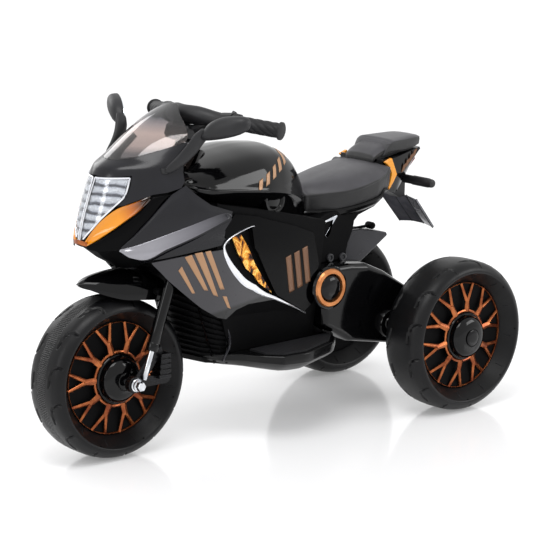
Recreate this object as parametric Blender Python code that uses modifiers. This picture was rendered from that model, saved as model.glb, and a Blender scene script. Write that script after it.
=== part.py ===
# A children's three-wheeled ride-on motorcycle, in metres. +X is forward, +Y is the rider's left, +Z is up.
# The origin is on the floor, midway between the axles.
from math import acos, asin, cos, degrees, pi, radians, sin

import bmesh
import bpy
import numpy as np
from mathutils import Matrix, Vector

# Driving dimensions
GAP = 0.0004
WHEEL_R = 0.160
HALF_WHEELBASE = 0.378
REAR_HALF_TRACK = 0.194
AXLE_R = 0.006
SPOKES = 10
HUB_R = 0.0500
RIM_R = 0.1125
RAKE = radians(20)
STEER_FOOT = Vector((0.355, 0.0, 0.160))
FORK_HALF_TRACK = 0.084
PANEL_THICKNESS = 0.0030
CORE_DEPTH = PANEL_THICKNESS + 2 * GAP
FAIRING_WAIST_X = 0.110
GRIP_END = Vector((0.103, 0.2017, 0.640))
GRIP_R = 0.0135
FLOORPAN_TOP = 0.184
FLOORPAN_BOTTOM = 0.143
ARM_INNER_Y = 0.070
ARM_OUTER_Y = 0.122
PIVOT_X = -0.092
PIVOT_Z = 0.288

# Height, nose on the centre line and half width of the front bodywork's outer surface
FAIRING_LEVELS = (
    (0.185, 0.405, 0.104),
    (0.235, 0.410, 0.112),
    (0.300, 0.410, 0.122),
    (0.360, 0.412, 0.131),
    (0.405, 0.425, 0.137),
    (0.424, 0.442, 0.139),
    (0.470, 0.434, 0.142),
    (0.515, 0.419, 0.138),
    (0.545, 0.4075, 0.131),
    (0.575, 0.393, 0.122),
    (0.592, 0.366, 0.1185),
    (0.626, 0.317, 0.112),
    (0.658, 0.268, 0.088),
    (0.683, 0.212, 0.062),
)
WAIST_TAPER = 0.12
WAIST_TAPER_LENGTH = 0.25

for item in list(bpy.data.objects):
    bpy.data.objects.remove(item)

parts = bpy.data.collections.new("ride_on_motorcycle")
cutters = bpy.data.collections.new("cutters")
for group in (parts, cutters):
    bpy.context.scene.collection.children.link(group)


def finish(name, color, roughness, metallic=0.0, coat=0.0):
    material = bpy.data.materials.new(name)
    material.use_nodes = True
    shader = material.node_tree.nodes["Principled BSDF"]
    shader.inputs["Base Color"].default_value = (*color, 1.0)
    shader.inputs["Roughness"].default_value = roughness
    shader.inputs["Metallic"].default_value = metallic
    shader.inputs["Coat Weight"].default_value = coat
    material.diffuse_color = (*color, 1.0)
    return material


def gloss_black(name):
    return finish(name, (0.012, 0.012, 0.014), 0.12, coat=0.6)


def matte_black(name):
    return finish(name, (0.020, 0.020, 0.021), 0.55)


def copper(name):
    return finish(name, (0.62, 0.29, 0.13), 0.32, metallic=0.6)


def amber(name):
    return finish(name, (0.95, 0.38, 0.02), 0.25)


# Objects and modifiers

def place(name, data, material, parent=None, smooth_angle=35):
    item = bpy.data.objects.new(name, data)
    parts.objects.link(item)
    data.materials.append(material)
    if smooth_angle and item.type == "MESH":
        data.shade_smooth()
        data.set_sharp_from_angle(angle=radians(smooth_angle))
    if parent is not None:
        item.parent = parent
        item.matrix_parent_inverse = parent.matrix_world.inverted()
    return item


def mesh_of(name, bm, recalculate=True):
    if recalculate:
        bmesh.ops.recalc_face_normals(bm, faces=bm.faces[:])
    mesh = bpy.data.meshes.new(name)
    bm.to_mesh(mesh)
    bm.free()
    return mesh


def joint_axis(name, location, rotation=(0.0, 0.0, 0.0), parent=None):
    empty = bpy.data.objects.new(name, None)
    empty.empty_display_size = 0.03
    empty.rotation_euler = rotation
    empty.location = location
    parts.objects.link(empty)
    bpy.context.view_layer.update()
    if parent is not None:
        empty.parent = parent
        empty.matrix_parent_inverse = parent.matrix_world.inverted()
        bpy.context.view_layer.update()
    return empty


def rounded(item, width, segments=2, angle=40):
    bevel = item.modifiers.new("rounded edges", "BEVEL")
    bevel.width = width
    bevel.segments = segments
    bevel.limit_method = "ANGLE"
    bevel.angle_limit = radians(angle)
    return item


def boolean(item, other, operation):
    step = item.modifiers.new(operation.lower() + " " + other.name, "BOOLEAN")
    step.operation = operation
    step.object = other
    step.solver = "EXACT"
    if other.name in parts.objects:
        parts.objects.unlink(other)
        cutters.objects.link(other)
    other.hide_render = True
    other.display_type = "WIRE"
    return item


def cut(item, other):
    return boolean(item, other, "DIFFERENCE")


def join(item, other):
    return boolean(item, other, "UNION")


# Solids

def ladder(bm, loop):
    # Closes a ring whose second half mirrors its first with flat rungs across.
    left, right = 0, len(loop) - 1
    while right - left > 2:
        bm.faces.new((loop[left], loop[left + 1], loop[right - 1], loop[right]))
        left, right = left + 1, right - 1
    if right - left == 2:
        bm.faces.new((loop[left], loop[left + 1], loop[right]))


def loft(name, rings, material, parent=None, smooth_angle=35, mirrored_rings=False):
    bm = bmesh.new()
    loops = [[bm.verts.new(point) for point in ring] for ring in rings]
    count = len(loops[0])
    for lower, upper in zip(loops, loops[1:]):
        for i in range(count):
            j = (i + 1) % count
            bm.faces.new((lower[i], lower[j], upper[j], upper[i]))
    for loop in (loops[0], loops[-1]):
        if mirrored_rings:
            ladder(bm, loop)
        else:
            bm.faces.new(loop)
    return place(name, mesh_of(name, bm), material, parent, smooth_angle)


def plate_xz(name, outline, y_near, y_far, material, parent=None):
    rings = [[(x, y, z) for x, z in outline] for y in (y_near, y_far)]
    return loft(name, rings, material, parent)


def plate_xy(name, outline, z_low, z_high, material, parent=None):
    rings = [[(x, y, z) for x, y in outline] for z in (z_low, z_high)]
    return loft(name, rings, material, parent)


def box(name, low, high, material, parent=None):
    bm = bmesh.new()
    low, high = Vector(low), Vector(high)
    bmesh.ops.create_cube(bm, size=1.0)
    bmesh.ops.scale(bm, vec=high - low, verts=bm.verts[:])
    bmesh.ops.translate(bm, vec=(low + high) / 2, verts=bm.verts[:])
    return place(name, mesh_of(name, bm), material, parent)


def rod(name, start, end, radius, material, parent=None, sides=16, end_radius=None):
    start, end = Vector(start), Vector(end)
    bm = bmesh.new()
    bmesh.ops.create_cone(
        bm,
        cap_ends=True,
        segments=sides,
        radius1=radius,
        radius2=radius if end_radius is None else end_radius,
        depth=(end - start).length,
    )
    turn = Vector((0, 0, 1)).rotation_difference(end - start).to_matrix().to_4x4()
    bmesh.ops.transform(bm, matrix=Matrix.Translation((start + end) / 2) @ turn, verts=bm.verts[:])
    return place(name, mesh_of(name, bm), material, parent)


def turned_y(name, profile, centre, material, steps=28, closed=False, parent=None):
    # The profile is pairs of radius and distance along +Y from the centre.
    bm = bmesh.new()
    points = [bm.verts.new((radius, along, 0.0)) for radius, along in profile]
    for a, b in zip(points, points[1:]):
        bm.edges.new((a, b))
    if closed:
        bm.edges.new((points[-1], points[0]))
    item = place(name, mesh_of(name, bm, recalculate=False), material, None, 0)
    item.location = centre
    screw = item.modifiers.new("turned", "SCREW")
    screw.axis = "Y"
    screw.angle = 2 * pi
    screw.steps = steps
    screw.render_steps = steps
    screw.use_merge_vertices = True
    screw.merge_threshold = 0.00005
    screw.use_smooth_shade = True
    bpy.context.view_layer.update()
    if parent is not None:
        item.parent = parent
        item.matrix_parent_inverse = parent.matrix_world.inverted()
    return item


# The front bodywork's outer surface. A place on it is (sweep, height): the sweep runs from 0 on the nose to 90
# degrees at the waist, and past that by 3 mm a unit towards the rear.

def fairing_level(z):
    heights = [level[0] for level in FAIRING_LEVELS]
    nose = np.interp(z, heights, [level[1] for level in FAIRING_LEVELS])
    half = np.interp(z, heights, [level[2] for level in FAIRING_LEVELS])
    return float(nose), float(half)


def fairing_point(sweep, z, side=1, depth=0.0):
    nose, half = fairing_level(z)
    reach = nose - FAIRING_WAIST_X
    if sweep <= 90:
        angle = radians(sweep)
        x = FAIRING_WAIST_X + (reach - depth) * cos(angle)
        return Vector((x, side * (half - depth) * sin(angle), z))
    back = (sweep - 90) * 0.003
    taper = 1 - WAIST_TAPER * (back / WAIST_TAPER_LENGTH) ** 2
    return Vector((FAIRING_WAIST_X - back, side * (half * taper - depth), z))


def sweep_at(x, z):
    nose, _ = fairing_level(z)
    if x <= FAIRING_WAIST_X:
        return 90 + (FAIRING_WAIST_X - x) / 0.003
    return degrees(acos(min(1.0, (x - FAIRING_WAIST_X) / (nose - FAIRING_WAIST_X))))


def at_x(*points):
    return [(sweep_at(x, z), z) for x, z in points]


def panel(name, edge, other_edge, material, side=1, rows=4, steps=2, depth=0.0, flare=None,
          mirrored=False, thickness=PANEL_THICKNESS):
    # A moulded skin between two edges drawn on the fairing surface, with the same number of points each.
    stations = []
    for k in range(len(edge) - 1):
        for i in range(steps):
            t = i / steps
            stations.append(tuple(
                (1 - t) * np.array(line[k]) + t * np.array(line[k + 1]) for line in (edge, other_edge)
            ))
    stations.append((np.array(edge[-1]), np.array(other_edge[-1])))
    bm = bmesh.new()
    grid = []
    for start, end in stations:
        row = []
        for r in range(rows + 1):
            t = r / rows
            sweep, z = (1 - t) * start + t * end
            out = flare(t) if flare else 0.0
            row.append(bm.verts.new(fairing_point(sweep, z, side, depth - out)))
        grid.append(row)
    for a, b in zip(grid, grid[1:]):
        for r in range(rows):
            bm.faces.new((a[r], a[r + 1], b[r + 1], b[r]))
    bmesh.ops.recalc_face_normals(bm, faces=bm.faces[:])
    middle = grid[len(grid) // 2][rows // 2].co
    face = min(bm.faces, key=lambda f: (f.calc_center_median() - middle).length)
    if face.normal.dot(Vector((0.5, side, 0.2))) < 0:
        bmesh.ops.reverse_faces(bm, faces=bm.faces[:])
    item = place(name, mesh_of(name, bm, recalculate=False), material)
    if mirrored:
        mirror = item.modifiers.new("other half", "MIRROR")
        mirror.use_axis = (False, True, False)
        mirror.use_clip = True
        mirror.merge_threshold = 0.0001
    shell = item.modifiers.new("wall", "SOLIDIFY")
    shell.thickness = thickness
    shell.offset = -1.0
    shell.use_even_offset = True
    return item


SIDES = (("left", 1), ("right", -1))

# Joint axes
UP_STEER = Vector((-sin(RAKE), 0.0, cos(RAKE)))


def steer_point(height, forward=0.0, y=0.0):
    # A point on the steering axis at this height, moved forward square to the axis and sideways.
    along = (height - STEER_FOOT.z) / UP_STEER.z
    return STEER_FOOT + UP_STEER * along + Vector((cos(RAKE), 0.0, sin(RAKE))) * forward + Vector((0, y, 0))


steering = joint_axis("steering_axis", steer_point(0.500), (0.0, -RAKE, 0.0))
front_hub = joint_axis("front_wheel_axis", (HALF_WHEELBASE, 0.0, WHEEL_R), parent=steering)
rear_hubs = {
    side: joint_axis(f"rear_{word}_wheel_axis", (-HALF_WHEELBASE, side * REAR_HALF_TRACK, WHEEL_R))
    for word, side in SIDES
}


# Wheels: a hollow-sided tyre moulded in one with its dish and hub, and a copper spoke trim in each dish

LEDGE_Y = 0.0190
FLOOR_Y = 0.0060
OUTER_SIDE = (
    (0.1600, 0.0190),
    (0.1575, 0.0345),
    (0.1495, 0.0475),
    (0.1380, 0.0526),
    (0.1160, 0.0240),
    (0.1135, LEDGE_Y),
    (0.1070, LEDGE_Y),
    (0.1040, FLOOR_Y),
    (0.0500, FLOOR_Y),
    (0.0500, 0.0345),
    (0.0440, 0.0385),
    (0.0260, 0.0460),
)
HUB_HALF_LENGTH = 0.0475
# Where the first spoke of a front and of a rear trim stands, in degrees from forward
FRONT_SPOKE_AT = 4.2
REAR_SPOKE_AT = 26.2


def wheel(name, hub, material, bored=True):
    inner = [(radius, -along) for radius, along in OUTER_SIDE]
    bore = AXLE_R + 0.0005
    if bored:
        profile = list(reversed(OUTER_SIDE)) + inner + [(bore, -HUB_HALF_LENGTH), (bore, HUB_HALF_LENGTH)]
        return turned_y(name, profile, hub.matrix_world.translation, material, closed=True, parent=hub)
    cap = [(0.0, HUB_HALF_LENGTH)] + list(reversed(OUTER_SIDE))
    blind = [(bore, -HUB_HALF_LENGTH), (bore, 0.0300), (0.0, 0.0300)]
    return turned_y(name, cap + inner + blind, hub.matrix_world.translation, material, parent=hub)


def ring_points(radius, count):
    turns = [2 * pi * i / count for i in range(count)]
    return [(radius * cos(turn), radius * sin(turn)) for turn in turns]


def polar(radius, angle):
    return (radius * cos(radians(angle)), radius * sin(radians(angle)))


def spoke_trim(name, hub, side, first_at, material):
    # A flat moulding: a rim ring and a hub ring joined by Y-shaped spokes, with open windows between them.
    hub_outer, fork_r, rim_inner = 0.0575, 0.0765, 0.1085
    pitch = 360 / SPOKES
    stem = degrees(asin(0.0046 / hub_outer))
    stem_top = degrees(asin(0.0044 / fork_r))
    arm = pitch / 4
    arm_edge = degrees(0.0024 / rim_inner)
    outlines = [ring_points(RIM_R, 40), ring_points(HUB_R + 0.0010, 20)]
    for k in range(SPOKES):
        spoke = first_at + k * pitch
        between = spoke + pitch / 2
        wide = pitch / 2 - stem
        neck = pitch / 2 - stem_top
        top = pitch / 2 - arm - arm_edge
        outlines.append([
            polar(hub_outer, between - wide), polar(hub_outer, between), polar(hub_outer, between + wide),
            polar(fork_r, between + neck), polar(rim_inner, between + top), polar(rim_inner, between - top),
            polar(fork_r, between - neck),
        ])
        fork = arm - arm_edge
        outlines.append([
            polar(fork_r + 0.0070, spoke), polar(rim_inner, spoke + fork), polar(rim_inner, spoke - fork),
        ])
    curve = bpy.data.curves.new(name, "CURVE")
    curve.dimensions = "2D"
    curve.fill_mode = "BOTH"
    curve.extrude = 0.0020
    for outline in outlines:
        spline = curve.splines.new("POLY")
        spline.points.add(len(outline) - 1)
        for point, (x, y) in zip(spline.points, outline):
            point.co = (x, y, 0.0, 1.0)
        spline.use_cyclic_u = True
    item = place(name, curve, material)
    centre = hub.matrix_world.translation
    item.location = centre + Vector((0.0, side * (LEDGE_Y + GAP + 0.0020), 0.0))
    item.rotation_euler = (pi / 2, 0.0, 0.0)
    bpy.context.view_layer.update()
    item.parent = hub
    item.matrix_parent_inverse = hub.matrix_world.inverted()
    return item


tyre_black = finish("tyre_black", (0.016, 0.016, 0.017), 0.60)
spoke_copper = copper("spoke_copper")
wheel("front_wheel", front_hub, tyre_black)
for word, side in SIDES:
    spoke_trim(f"front_spokes_{word}", front_hub, side, FRONT_SPOKE_AT, spoke_copper)
for word, side in SIDES:
    turned = wheel(f"rear_wheel_{word}", rear_hubs[side], tyre_black, bored=False)
    if side < 0:
        turned.rotation_euler = (0.0, 0.0, pi)
    spoke_trim(f"rear_spokes_{word}", rear_hubs[side], side, REAR_SPOKE_AT, spoke_copper)


# Fork, stem and handlebar: they all turn on the steering axis

FORK_R = 0.0125
CROWN_HEIGHT = 0.368
CROWN_HALF_THICK = 0.011
STEM_R = 0.0105
STEM_TOP = 0.604
dark_metal = finish("fork_black", (0.03, 0.03, 0.032), 0.30, metallic=0.7)


def frame_on_axis(height, forward=0.0):
    turn = Matrix.Rotation(-RAKE, 4, "Y")
    return Matrix.Translation(steer_point(height, forward)) @ turn


def box_on_axis(name, height, forward, size, material, parent=None):
    bm = bmesh.new()
    bmesh.ops.create_cube(bm, size=1.0)
    bmesh.ops.scale(bm, vec=size, verts=bm.verts[:])
    bmesh.ops.transform(bm, matrix=frame_on_axis(height, forward), verts=bm.verts[:])
    return place(name, mesh_of(name, bm), material, parent)


def steering_stem():
    crown = box_on_axis(
        "steering_stem", CROWN_HEIGHT, 0.006, (0.040, 2 * (FORK_HALF_TRACK + 0.013), 2 * CROWN_HALF_THICK),
        dark_metal, steering,
    )
    rounded(crown, 0.008, 1)
    join(crown, rod("stem_tube", steer_point(CROWN_HEIGHT), steer_point(STEM_TOP), STEM_R, dark_metal))
    return crown


def fork_leg(word, side):
    y = side * FORK_HALF_TRACK
    leg_offset = 0.010
    top = CROWN_HEIGHT - CROWN_HALF_THICK * UP_STEER.z - GAP
    upper = steer_point(top, leg_offset, y)
    middle = steer_point(0.285, leg_offset, y)
    lower = steer_point(WHEEL_R + 0.004, leg_offset, y)
    leg = rod(f"fork_leg_{word}", upper, middle, 0.0120, dark_metal, steering, 12, 0.0105)
    slider_top = middle + UP_STEER * 0.004
    join(leg, rod(f"lower_leg_{word}", slider_top, lower, 0.0085, dark_metal, sides=12, end_radius=0.0070))
    axle = Vector((HALF_WHEELBASE, y, WHEEL_R))
    width = Vector((0.0, 0.0085, 0.0))
    join(leg, rod(f"axle_eye_{word}", axle - width, axle + width, 0.0165, dark_metal, sides=20))
    bracket = [(0.375, 0.150), (0.296, 0.172), (0.304, 0.232), (0.338, 0.222)]
    near, far = (y - 0.004, y + 0.004)
    join(leg, plate_xz(f"caliper_bracket_{word}", bracket, near, far, dark_metal))
    hole_ends = (axle - width * 2, axle + width * 2)
    cut(leg, rod(f"axle_hole_{word}", *hole_ends, AXLE_R + 0.0004, dark_metal, sides=20))
    return leg


def front_axle():
    nut_in = FORK_HALF_TRACK + 0.0085 + GAP
    half = (
        (AXLE_R, 0.0), (AXLE_R, nut_in), (0.0110, nut_in),
        (0.0110, nut_in + 0.0075), (0.0060, nut_in + 0.0120),
    )
    profile = [(0.0, half[-1][1])] + [(r, y) for r, y in reversed(half)]
    profile += [(r, -y) for r, y in half[1:]] + [(0.0, -half[-1][1])]
    chrome = finish("axle_chrome", (0.80, 0.80, 0.80), 0.12, metallic=1.0)
    return turned_y("front_axle", profile, (HALF_WHEELBASE, 0.0, WHEEL_R), chrome, steps=18, parent=steering)


def front_fender():
    # A beak over the wheel: a crowned blade whose rear wraps down between the legs.
    stations = (
        (0.446, 0.006, 0.350, 0.355),
        (0.420, 0.026, 0.337, 0.362),
        (0.394, 0.042, 0.331, 0.3655),
        (0.350, 0.057, 0.3285, 0.3665),
        (0.300, 0.063, 0.318, 0.358),
        (0.262, 0.060, 0.303, 0.340),
        (0.240, 0.050, 0.290, 0.318),
    )
    rings = []
    for x, half, low, high in stations:
        ring = []
        for t in (-1.0, -0.75, 0.0, 0.75, 1.0):
            ring.append((x, half * t, low + (high - low) * (1.0 - 0.85 * abs(t) ** 2.2)))
        for t in (0.9, 0.45, 0.0, -0.45, -0.9):
            ring.append((x, half * t, low - 0.001 * (1 - abs(t)) + 0.002 * abs(t)))
        rings.append(ring)
    fender = loft("front_fender", rings, gloss_black("fender_black"), steering)
    reach = FORK_HALF_TRACK - 0.0120 - GAP
    lug = box("fender_lugs", (0.2920, -reach, 0.3220), (0.3130, reach, 0.3360), fender.data.materials[0])
    return join(fender, lug)


def tube(name, points, radius, material, parent=None, resolution=2):
    curve = bpy.data.curves.new(name, "CURVE")
    curve.dimensions = "3D"
    curve.bevel_depth = radius
    curve.bevel_resolution = resolution
    curve.use_fill_caps = True
    spline = curve.splines.new("POLY")
    spline.points.add(len(points) - 1)
    for point, place_at in zip(spline.points, points):
        point.co = (*place_at, 1.0)
    item = place(name, curve, material, parent)
    bpy.context.view_layer.update()
    graph = bpy.context.evaluated_depsgraph_get()
    mesh = bpy.data.meshes.new_from_object(item.evaluated_get(graph))
    bpy.data.objects.remove(item)
    bm = bmesh.new()
    bm.from_mesh(mesh)
    bmesh.ops.remove_doubles(bm, verts=bm.verts[:], dist=0.00001)
    bpy.data.meshes.remove(mesh)
    return place(name, mesh_of(name, bm), material, parent)


BAR_R = 0.0100
HORN_R = 0.0055
HORN_WAY = Vector((-0.643, 0.0, 0.766))
HORN_AT = Vector((0.1475, 0.0938, 0.6487)) + HORN_WAY * 0.0188
GRIP_START = Vector((0.142, 0.108, 0.6495))


def handlebar():
    centre = steer_point(0.618)
    path = [
        (GRIP_END.x + 0.0015, -GRIP_END.y + 0.004, GRIP_END.z), (GRIP_START.x, -GRIP_START.y, GRIP_START.z),
        (0.160, -0.062, 0.646), (centre.x - 0.006, -0.028, 0.630), (centre.x - 0.006, 0.028, 0.630),
        (0.160, 0.062, 0.646), (GRIP_START.x, GRIP_START.y, GRIP_START.z),
        (GRIP_END.x + 0.0015, GRIP_END.y - 0.004, GRIP_END.z),
    ]
    bar = tube("handlebar", path, BAR_R, matte_black("bar_black"), steering)
    clamp = box_on_axis("bar_clamp", 0.620, 0.000, (0.046, 0.070, 0.030), dark_metal)
    join(bar, rounded(clamp, 0.006, 1))
    for word, side in SIDES:
        inner = Vector((0.1515, side * 0.082, 0.648))
        outer = Vector((0.1435, side * 0.1055, 0.6494))
        join(bar, rod(f"switch_housing_{word}", inner, outer, 0.0195, dark_metal, sides=14))
    hole_ends = (HORN_AT - HORN_WAY * 0.0065, HORN_AT + HORN_WAY * 0.0100)
    cut(bar, rod("horn_hole", *hole_ends, HORN_R + 0.0005, dark_metal, sides=12))
    return bar


def horn_button():
    axis = joint_axis("horn_button_axis", HORN_AT, parent=steering)
    grey = finish("horn_grey", (0.060, 0.060, 0.065), 0.4)
    ends = (HORN_AT - HORN_WAY * 0.0035, HORN_AT + HORN_WAY * 0.0055)
    return rod("horn_button", *ends, HORN_R, grey, axis, sides=12)


def grip(word, side):
    start = Vector((GRIP_START.x, side * GRIP_START.y, GRIP_START.z))
    end = Vector((GRIP_END.x, side * GRIP_END.y, GRIP_END.z))
    way = (end - start).normalized()
    rubber = finish(f"grip_rubber_{word}", (0.03, 0.03, 0.032), 0.75)
    item = rod(f"grip_{word}", start - way * 0.0005, end, GRIP_R, rubber, steering, 14)
    join(item, rod(f"grip_flange_{word}", end - way * 0.006, end + way * 0.0005, 0.0175, rubber, sides=14))
    hole = rod(f"grip_bore_{word}", start - way * 0.010, end - way * 0.0035, BAR_R + 0.0012, rubber, sides=12)
    cut(item, hole)
    return item


steering_stem()
for word, side in SIDES:
    fork_leg(word, side)
    grip(word, side)
front_axle()
front_fender()
handlebar()
horn_button()


# Main frame: the hidden moulded chassis that every panel and cover is fixed to

# Tank cover stations: place along the bike, widest half width, half width at the floor, floor and top
TANK_STATIONS = (
    (0.270, 0.090, 0.114, 0.536, 0.552),
    (0.235, 0.112, 0.118, 0.512, 0.578),
    (0.190, 0.120, 0.120, 0.496, 0.588),
    (0.130, 0.122, 0.119, 0.483, 0.592),
    (0.070, 0.118, 0.112, 0.469, 0.592),
    (0.010, 0.104, 0.098, 0.454, 0.588),
    (-0.040, 0.086, 0.082, 0.440, 0.574),
    (-0.075, 0.070, 0.068, 0.432, 0.540),
    (-0.096, 0.054, 0.056, 0.427, 0.490),
)


def tank_floor(x):
    places = [station[0] for station in reversed(TANK_STATIONS)]
    return float(np.interp(x, places, [station[3] for station in reversed(TANK_STATIONS)]))


def core_front(z):
    return float(np.interp(z, (0.185, 0.300, 0.345, 0.500), (0.142, 0.186, 0.205, 0.205)))


def main_frame():
    front, rear = 0.205, -0.0750
    stations = [(front - x) / (front - rear) for x in (front, 0.190, 0.130, 0.070, 0.010, -0.040, rear)]
    levels = (0.0, 0.25, 0.42, 0.58, 0.78, 1.0)
    rings = []
    for t in stations:
        half_ring = []
        for level in levels:
            top = tank_floor(front + (rear - front) * t) - GAP
            z = FLOORPAN_TOP + GAP + level * (top - FLOORPAN_TOP - GAP)
            x = core_front(z) + (rear - core_front(z)) * t
            y = fairing_point(sweep_at(x, z), z, 1, CORE_DEPTH).y
            if level < 0.4:
                y = min(y, 0.088 + 0.045 * level)
            half_ring.append((x, y, z))
        rings.append(half_ring + [(x, -y, z) for x, y, z in reversed(half_ring)])
    black = matte_black("frame_black")
    frame = loft("main_frame", rings, black, mirrored_rings=True)
    join(frame, box("lower_neck", (0.150, -0.028, 0.440), (0.220, 0.028, 0.4800), black))
    join(frame, box("neck", (0.200, -0.028, 0.440), (0.2995, 0.028, 0.550), black))
    join(frame, rod("head_tube", steer_point(0.430), steer_point(0.562), 0.0240, black, sides=20))
    cut(frame, rod("head_bore", steer_point(0.40), steer_point(0.60), STEM_R + 0.0006, black, sides=16))
    for word, side in SIDES:
        cut(frame, panel(
            f"scoop_pocket_{word}",
            at_x((0.184, 0.4180), (0.170, 0.3820), (0.134, 0.3400), (0.088, 0.3090), (0.050, 0.2940)),
            at_x((0.174, 0.4290), (0.130, 0.4460), (0.115, 0.4010), (0.083, 0.3510), (0.050, 0.2990)),
            black, side, rows=2, depth=-0.0020, thickness=0.0140,
        ))
    return frame


main_frame()


# Front bodywork panels

panel_black = gloss_black("fairing_black")
lower_grey = finish("fairing_graphite", (0.055, 0.055, 0.062), 0.22, coat=0.4)


def winglet_flare(t):
    return 0.0085 * max(0.0, (t - 0.45) / 0.55) ** 1.5


def front_panels(word, side):
    panel(
        f"side_fairing_{word}",
        [(8.0, 0.4300), (18.0, 0.4430), (29.0, 0.4670), (38.0, 0.4930), (43.0, 0.5230), (52.0, 0.5270),
         (58.5, 0.5350), (66.5, 0.5070), (78.0, 0.4830)],
        [(8.0, 0.4252), (18.0, 0.4260), (28.0, 0.4260), (34.0, 0.4240), (40.5, 0.4090), (50.0, 0.4200),
         (58.0, 0.4320), (69.0, 0.4520), (78.0, 0.4760)],
        panel_black, side, flare=winglet_flare,
    )
    panel(
        f"amber_blade_{word}",
        [(7.2, 0.4370), (11.7, 0.4610), (18.0, 0.4840), (26.0, 0.5035), (34.0, 0.5130), (42.0, 0.5240)],
        [(8.0, 0.4325), (16.0, 0.4425), (24.0, 0.4570), (30.0, 0.4715), (36.8, 0.4930), (41.6, 0.5200)],
        amber(f"amber_{word}"), side, rows=3,
    )
    panel(
        f"headlight_lens_{word}",
        [(4.5, 0.4430), (11.0, 0.4640), (17.2, 0.4870), (23.0, 0.5070), (28.2, 0.5280), (29.3, 0.5575)],
        [(2.8, 0.4400), (2.8, 0.4620), (2.8, 0.4850), (2.8, 0.5070), (3.4, 0.5280), (7.5, 0.5485)],
        finish(f"lens_{word}", (0.75, 0.77, 0.80), 0.10, coat=0.5), side, rows=4,
    )
    panel(
        f"lower_fairing_{word}",
        at_x((0.338, 0.3955), (0.285, 0.4030), (0.234, 0.4070), (0.192, 0.4080), (0.181, 0.3900),
             (0.160, 0.3600), (0.121, 0.3260), (0.087, 0.3030), (0.046, 0.2900)),
        at_x((0.334, 0.3900), (0.310, 0.3592), (0.279, 0.3258), (0.245, 0.2934), (0.203, 0.2570),
             (0.172, 0.2600), (0.150, 0.2800), (0.120, 0.2860), (0.052, 0.2850)),
        lower_grey, side, rows=4,
    )
    panel(
        f"side_panel_{word}",
        at_x((0.192, 0.4480), (0.170, 0.4770), (0.140, 0.4710), (0.100, 0.4600), (0.014, 0.4330),
             (-0.040, 0.4110), (-0.064, 0.3450), (-0.060, 0.2620)),
        at_x((0.190, 0.4300), (0.176, 0.4340), (0.152, 0.4440), (0.128, 0.4500), (0.117, 0.4010),
             (0.085, 0.3510), (0.048, 0.2940), (-0.036, 0.2450)),
        panel_black, side, rows=4,
    )
    panel(
        f"scoop_insert_{word}",
        at_x((0.170, 0.4280), (0.154, 0.3950), (0.130, 0.3600), (0.092, 0.3240), (0.056, 0.2990)),
        at_x((0.150, 0.4340), (0.133, 0.4100), (0.108, 0.3680), (0.080, 0.3300), (0.054, 0.2970)),
        copper(f"scoop_copper_{word}"), side, rows=2, depth=0.0070, thickness=0.0040,
    )


for word, side in SIDES:
    front_panels(word, side)
panel(
    "nose_cowl",
    [(0.0, 0.5890), (10.0, 0.5895), (21.0, 0.5930), (32.0, 0.6025), (42.0, 0.6115), (50.5, 0.6200),
     (59.0, 0.6080), (56.5, 0.5880), (56.5, 0.5700), (57.5, 0.5480), (56.0, 0.5370)],
    [(0.0, 0.5640), (8.5, 0.5525), (17.0, 0.5535), (30.2, 0.5640), (30.5, 0.5450), (29.5, 0.5270),
     (24.5, 0.5085), (28.0, 0.5085), (34.5, 0.5170), (43.0, 0.5280), (50.0, 0.5305)],
    panel_black, mirrored=True, rows=5,
)
panel(
    "windscreen",
    [(0.0, 0.6820), (14.0, 0.6815), (29.5, 0.6700), (42.0, 0.6540), (48.0, 0.6360), (49.9, 0.6260)],
    [(0.0, 0.5895), (10.0, 0.5900), (21.0, 0.5936), (32.0, 0.6031), (42.0, 0.6121), (49.5, 0.6202)],
    finish("windscreen_smoke", (0.55, 0.50, 0.48), 0.05), mirrored=True, rows=3, thickness=0.0022,
)


def nose_ring(z, rear_x, depth, count=7):
    limit = sweep_at(rear_x, z)
    half = [fairing_point(limit * i / count, z, 1, depth) for i in range(count, 0, -1)]
    nose = fairing_point(0, z, 1, depth)
    ring = [(rear_x, half[0].y - 0.0040, z)] + [tuple(p) for p in half[1:]] + [tuple(nose)]
    return ring + [(x, -y, z) for x, y, z in reversed(ring[:-1])]


def headlight_housing():
    # The lamp housing fills the nose, and its keel runs down between the nose and the front fender.
    black = matte_black("housing_black")
    levels = (0.4262, 0.4500, 0.4850, 0.5150, 0.5490)
    housing = loft("headlight_housing", [nose_ring(z, 0.3000, CORE_DEPTH + 0.0008) for z in levels], black)
    top = nose_ring(0.4250, 0.3050, 0.012, 5)
    middle = [(0.3230 + (x - 0.3050) * 0.58, y * 0.55, 0.3980) for x, y, z in top]
    low = [(0.3260 + (x - 0.3050) * 0.20, y * 0.26, 0.3735) for x, y, z in top]
    root = [(x, y, 0.4300) for x, y, z in top]
    return join(housing, loft("keel", [low, middle, top, root], black))


# Height and front face at the grille's lower and upper edge
GRILLE_FRONT = ((0.1845, 0.190), (0.325, 0.236))
LOUVRES = 9
LOUVRE_DEPTH = 0.007


def radiator_grille():
    bottom, top = GRILLE_FRONT[0][0], GRILLE_FRONT[1][0]
    rings = []
    for i in range(2 * LOUVRES + 1):
        z = bottom + (top - bottom) * i / (2 * LOUVRES)
        front = np.interp(z, (bottom, top), (GRILLE_FRONT[0][1], GRILLE_FRONT[1][1]))
        front -= LOUVRE_DEPTH * (i % 2)
        back = core_front(z) + 0.001
        shoulder = max(back + 0.001, front - 0.040)
        half = [(back, 0.086, z), (shoulder, 0.086, z), (front - 0.012, 0.056, z), (front, 0.0, z)]
        rings.append(half + [(x, -y, z) for x, y, z in reversed(half[:-1])])
    return loft("radiator_grille", rings, matte_black("grille_black"), mirrored_rings=True)


headlight_housing()
radiator_grille()


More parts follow.
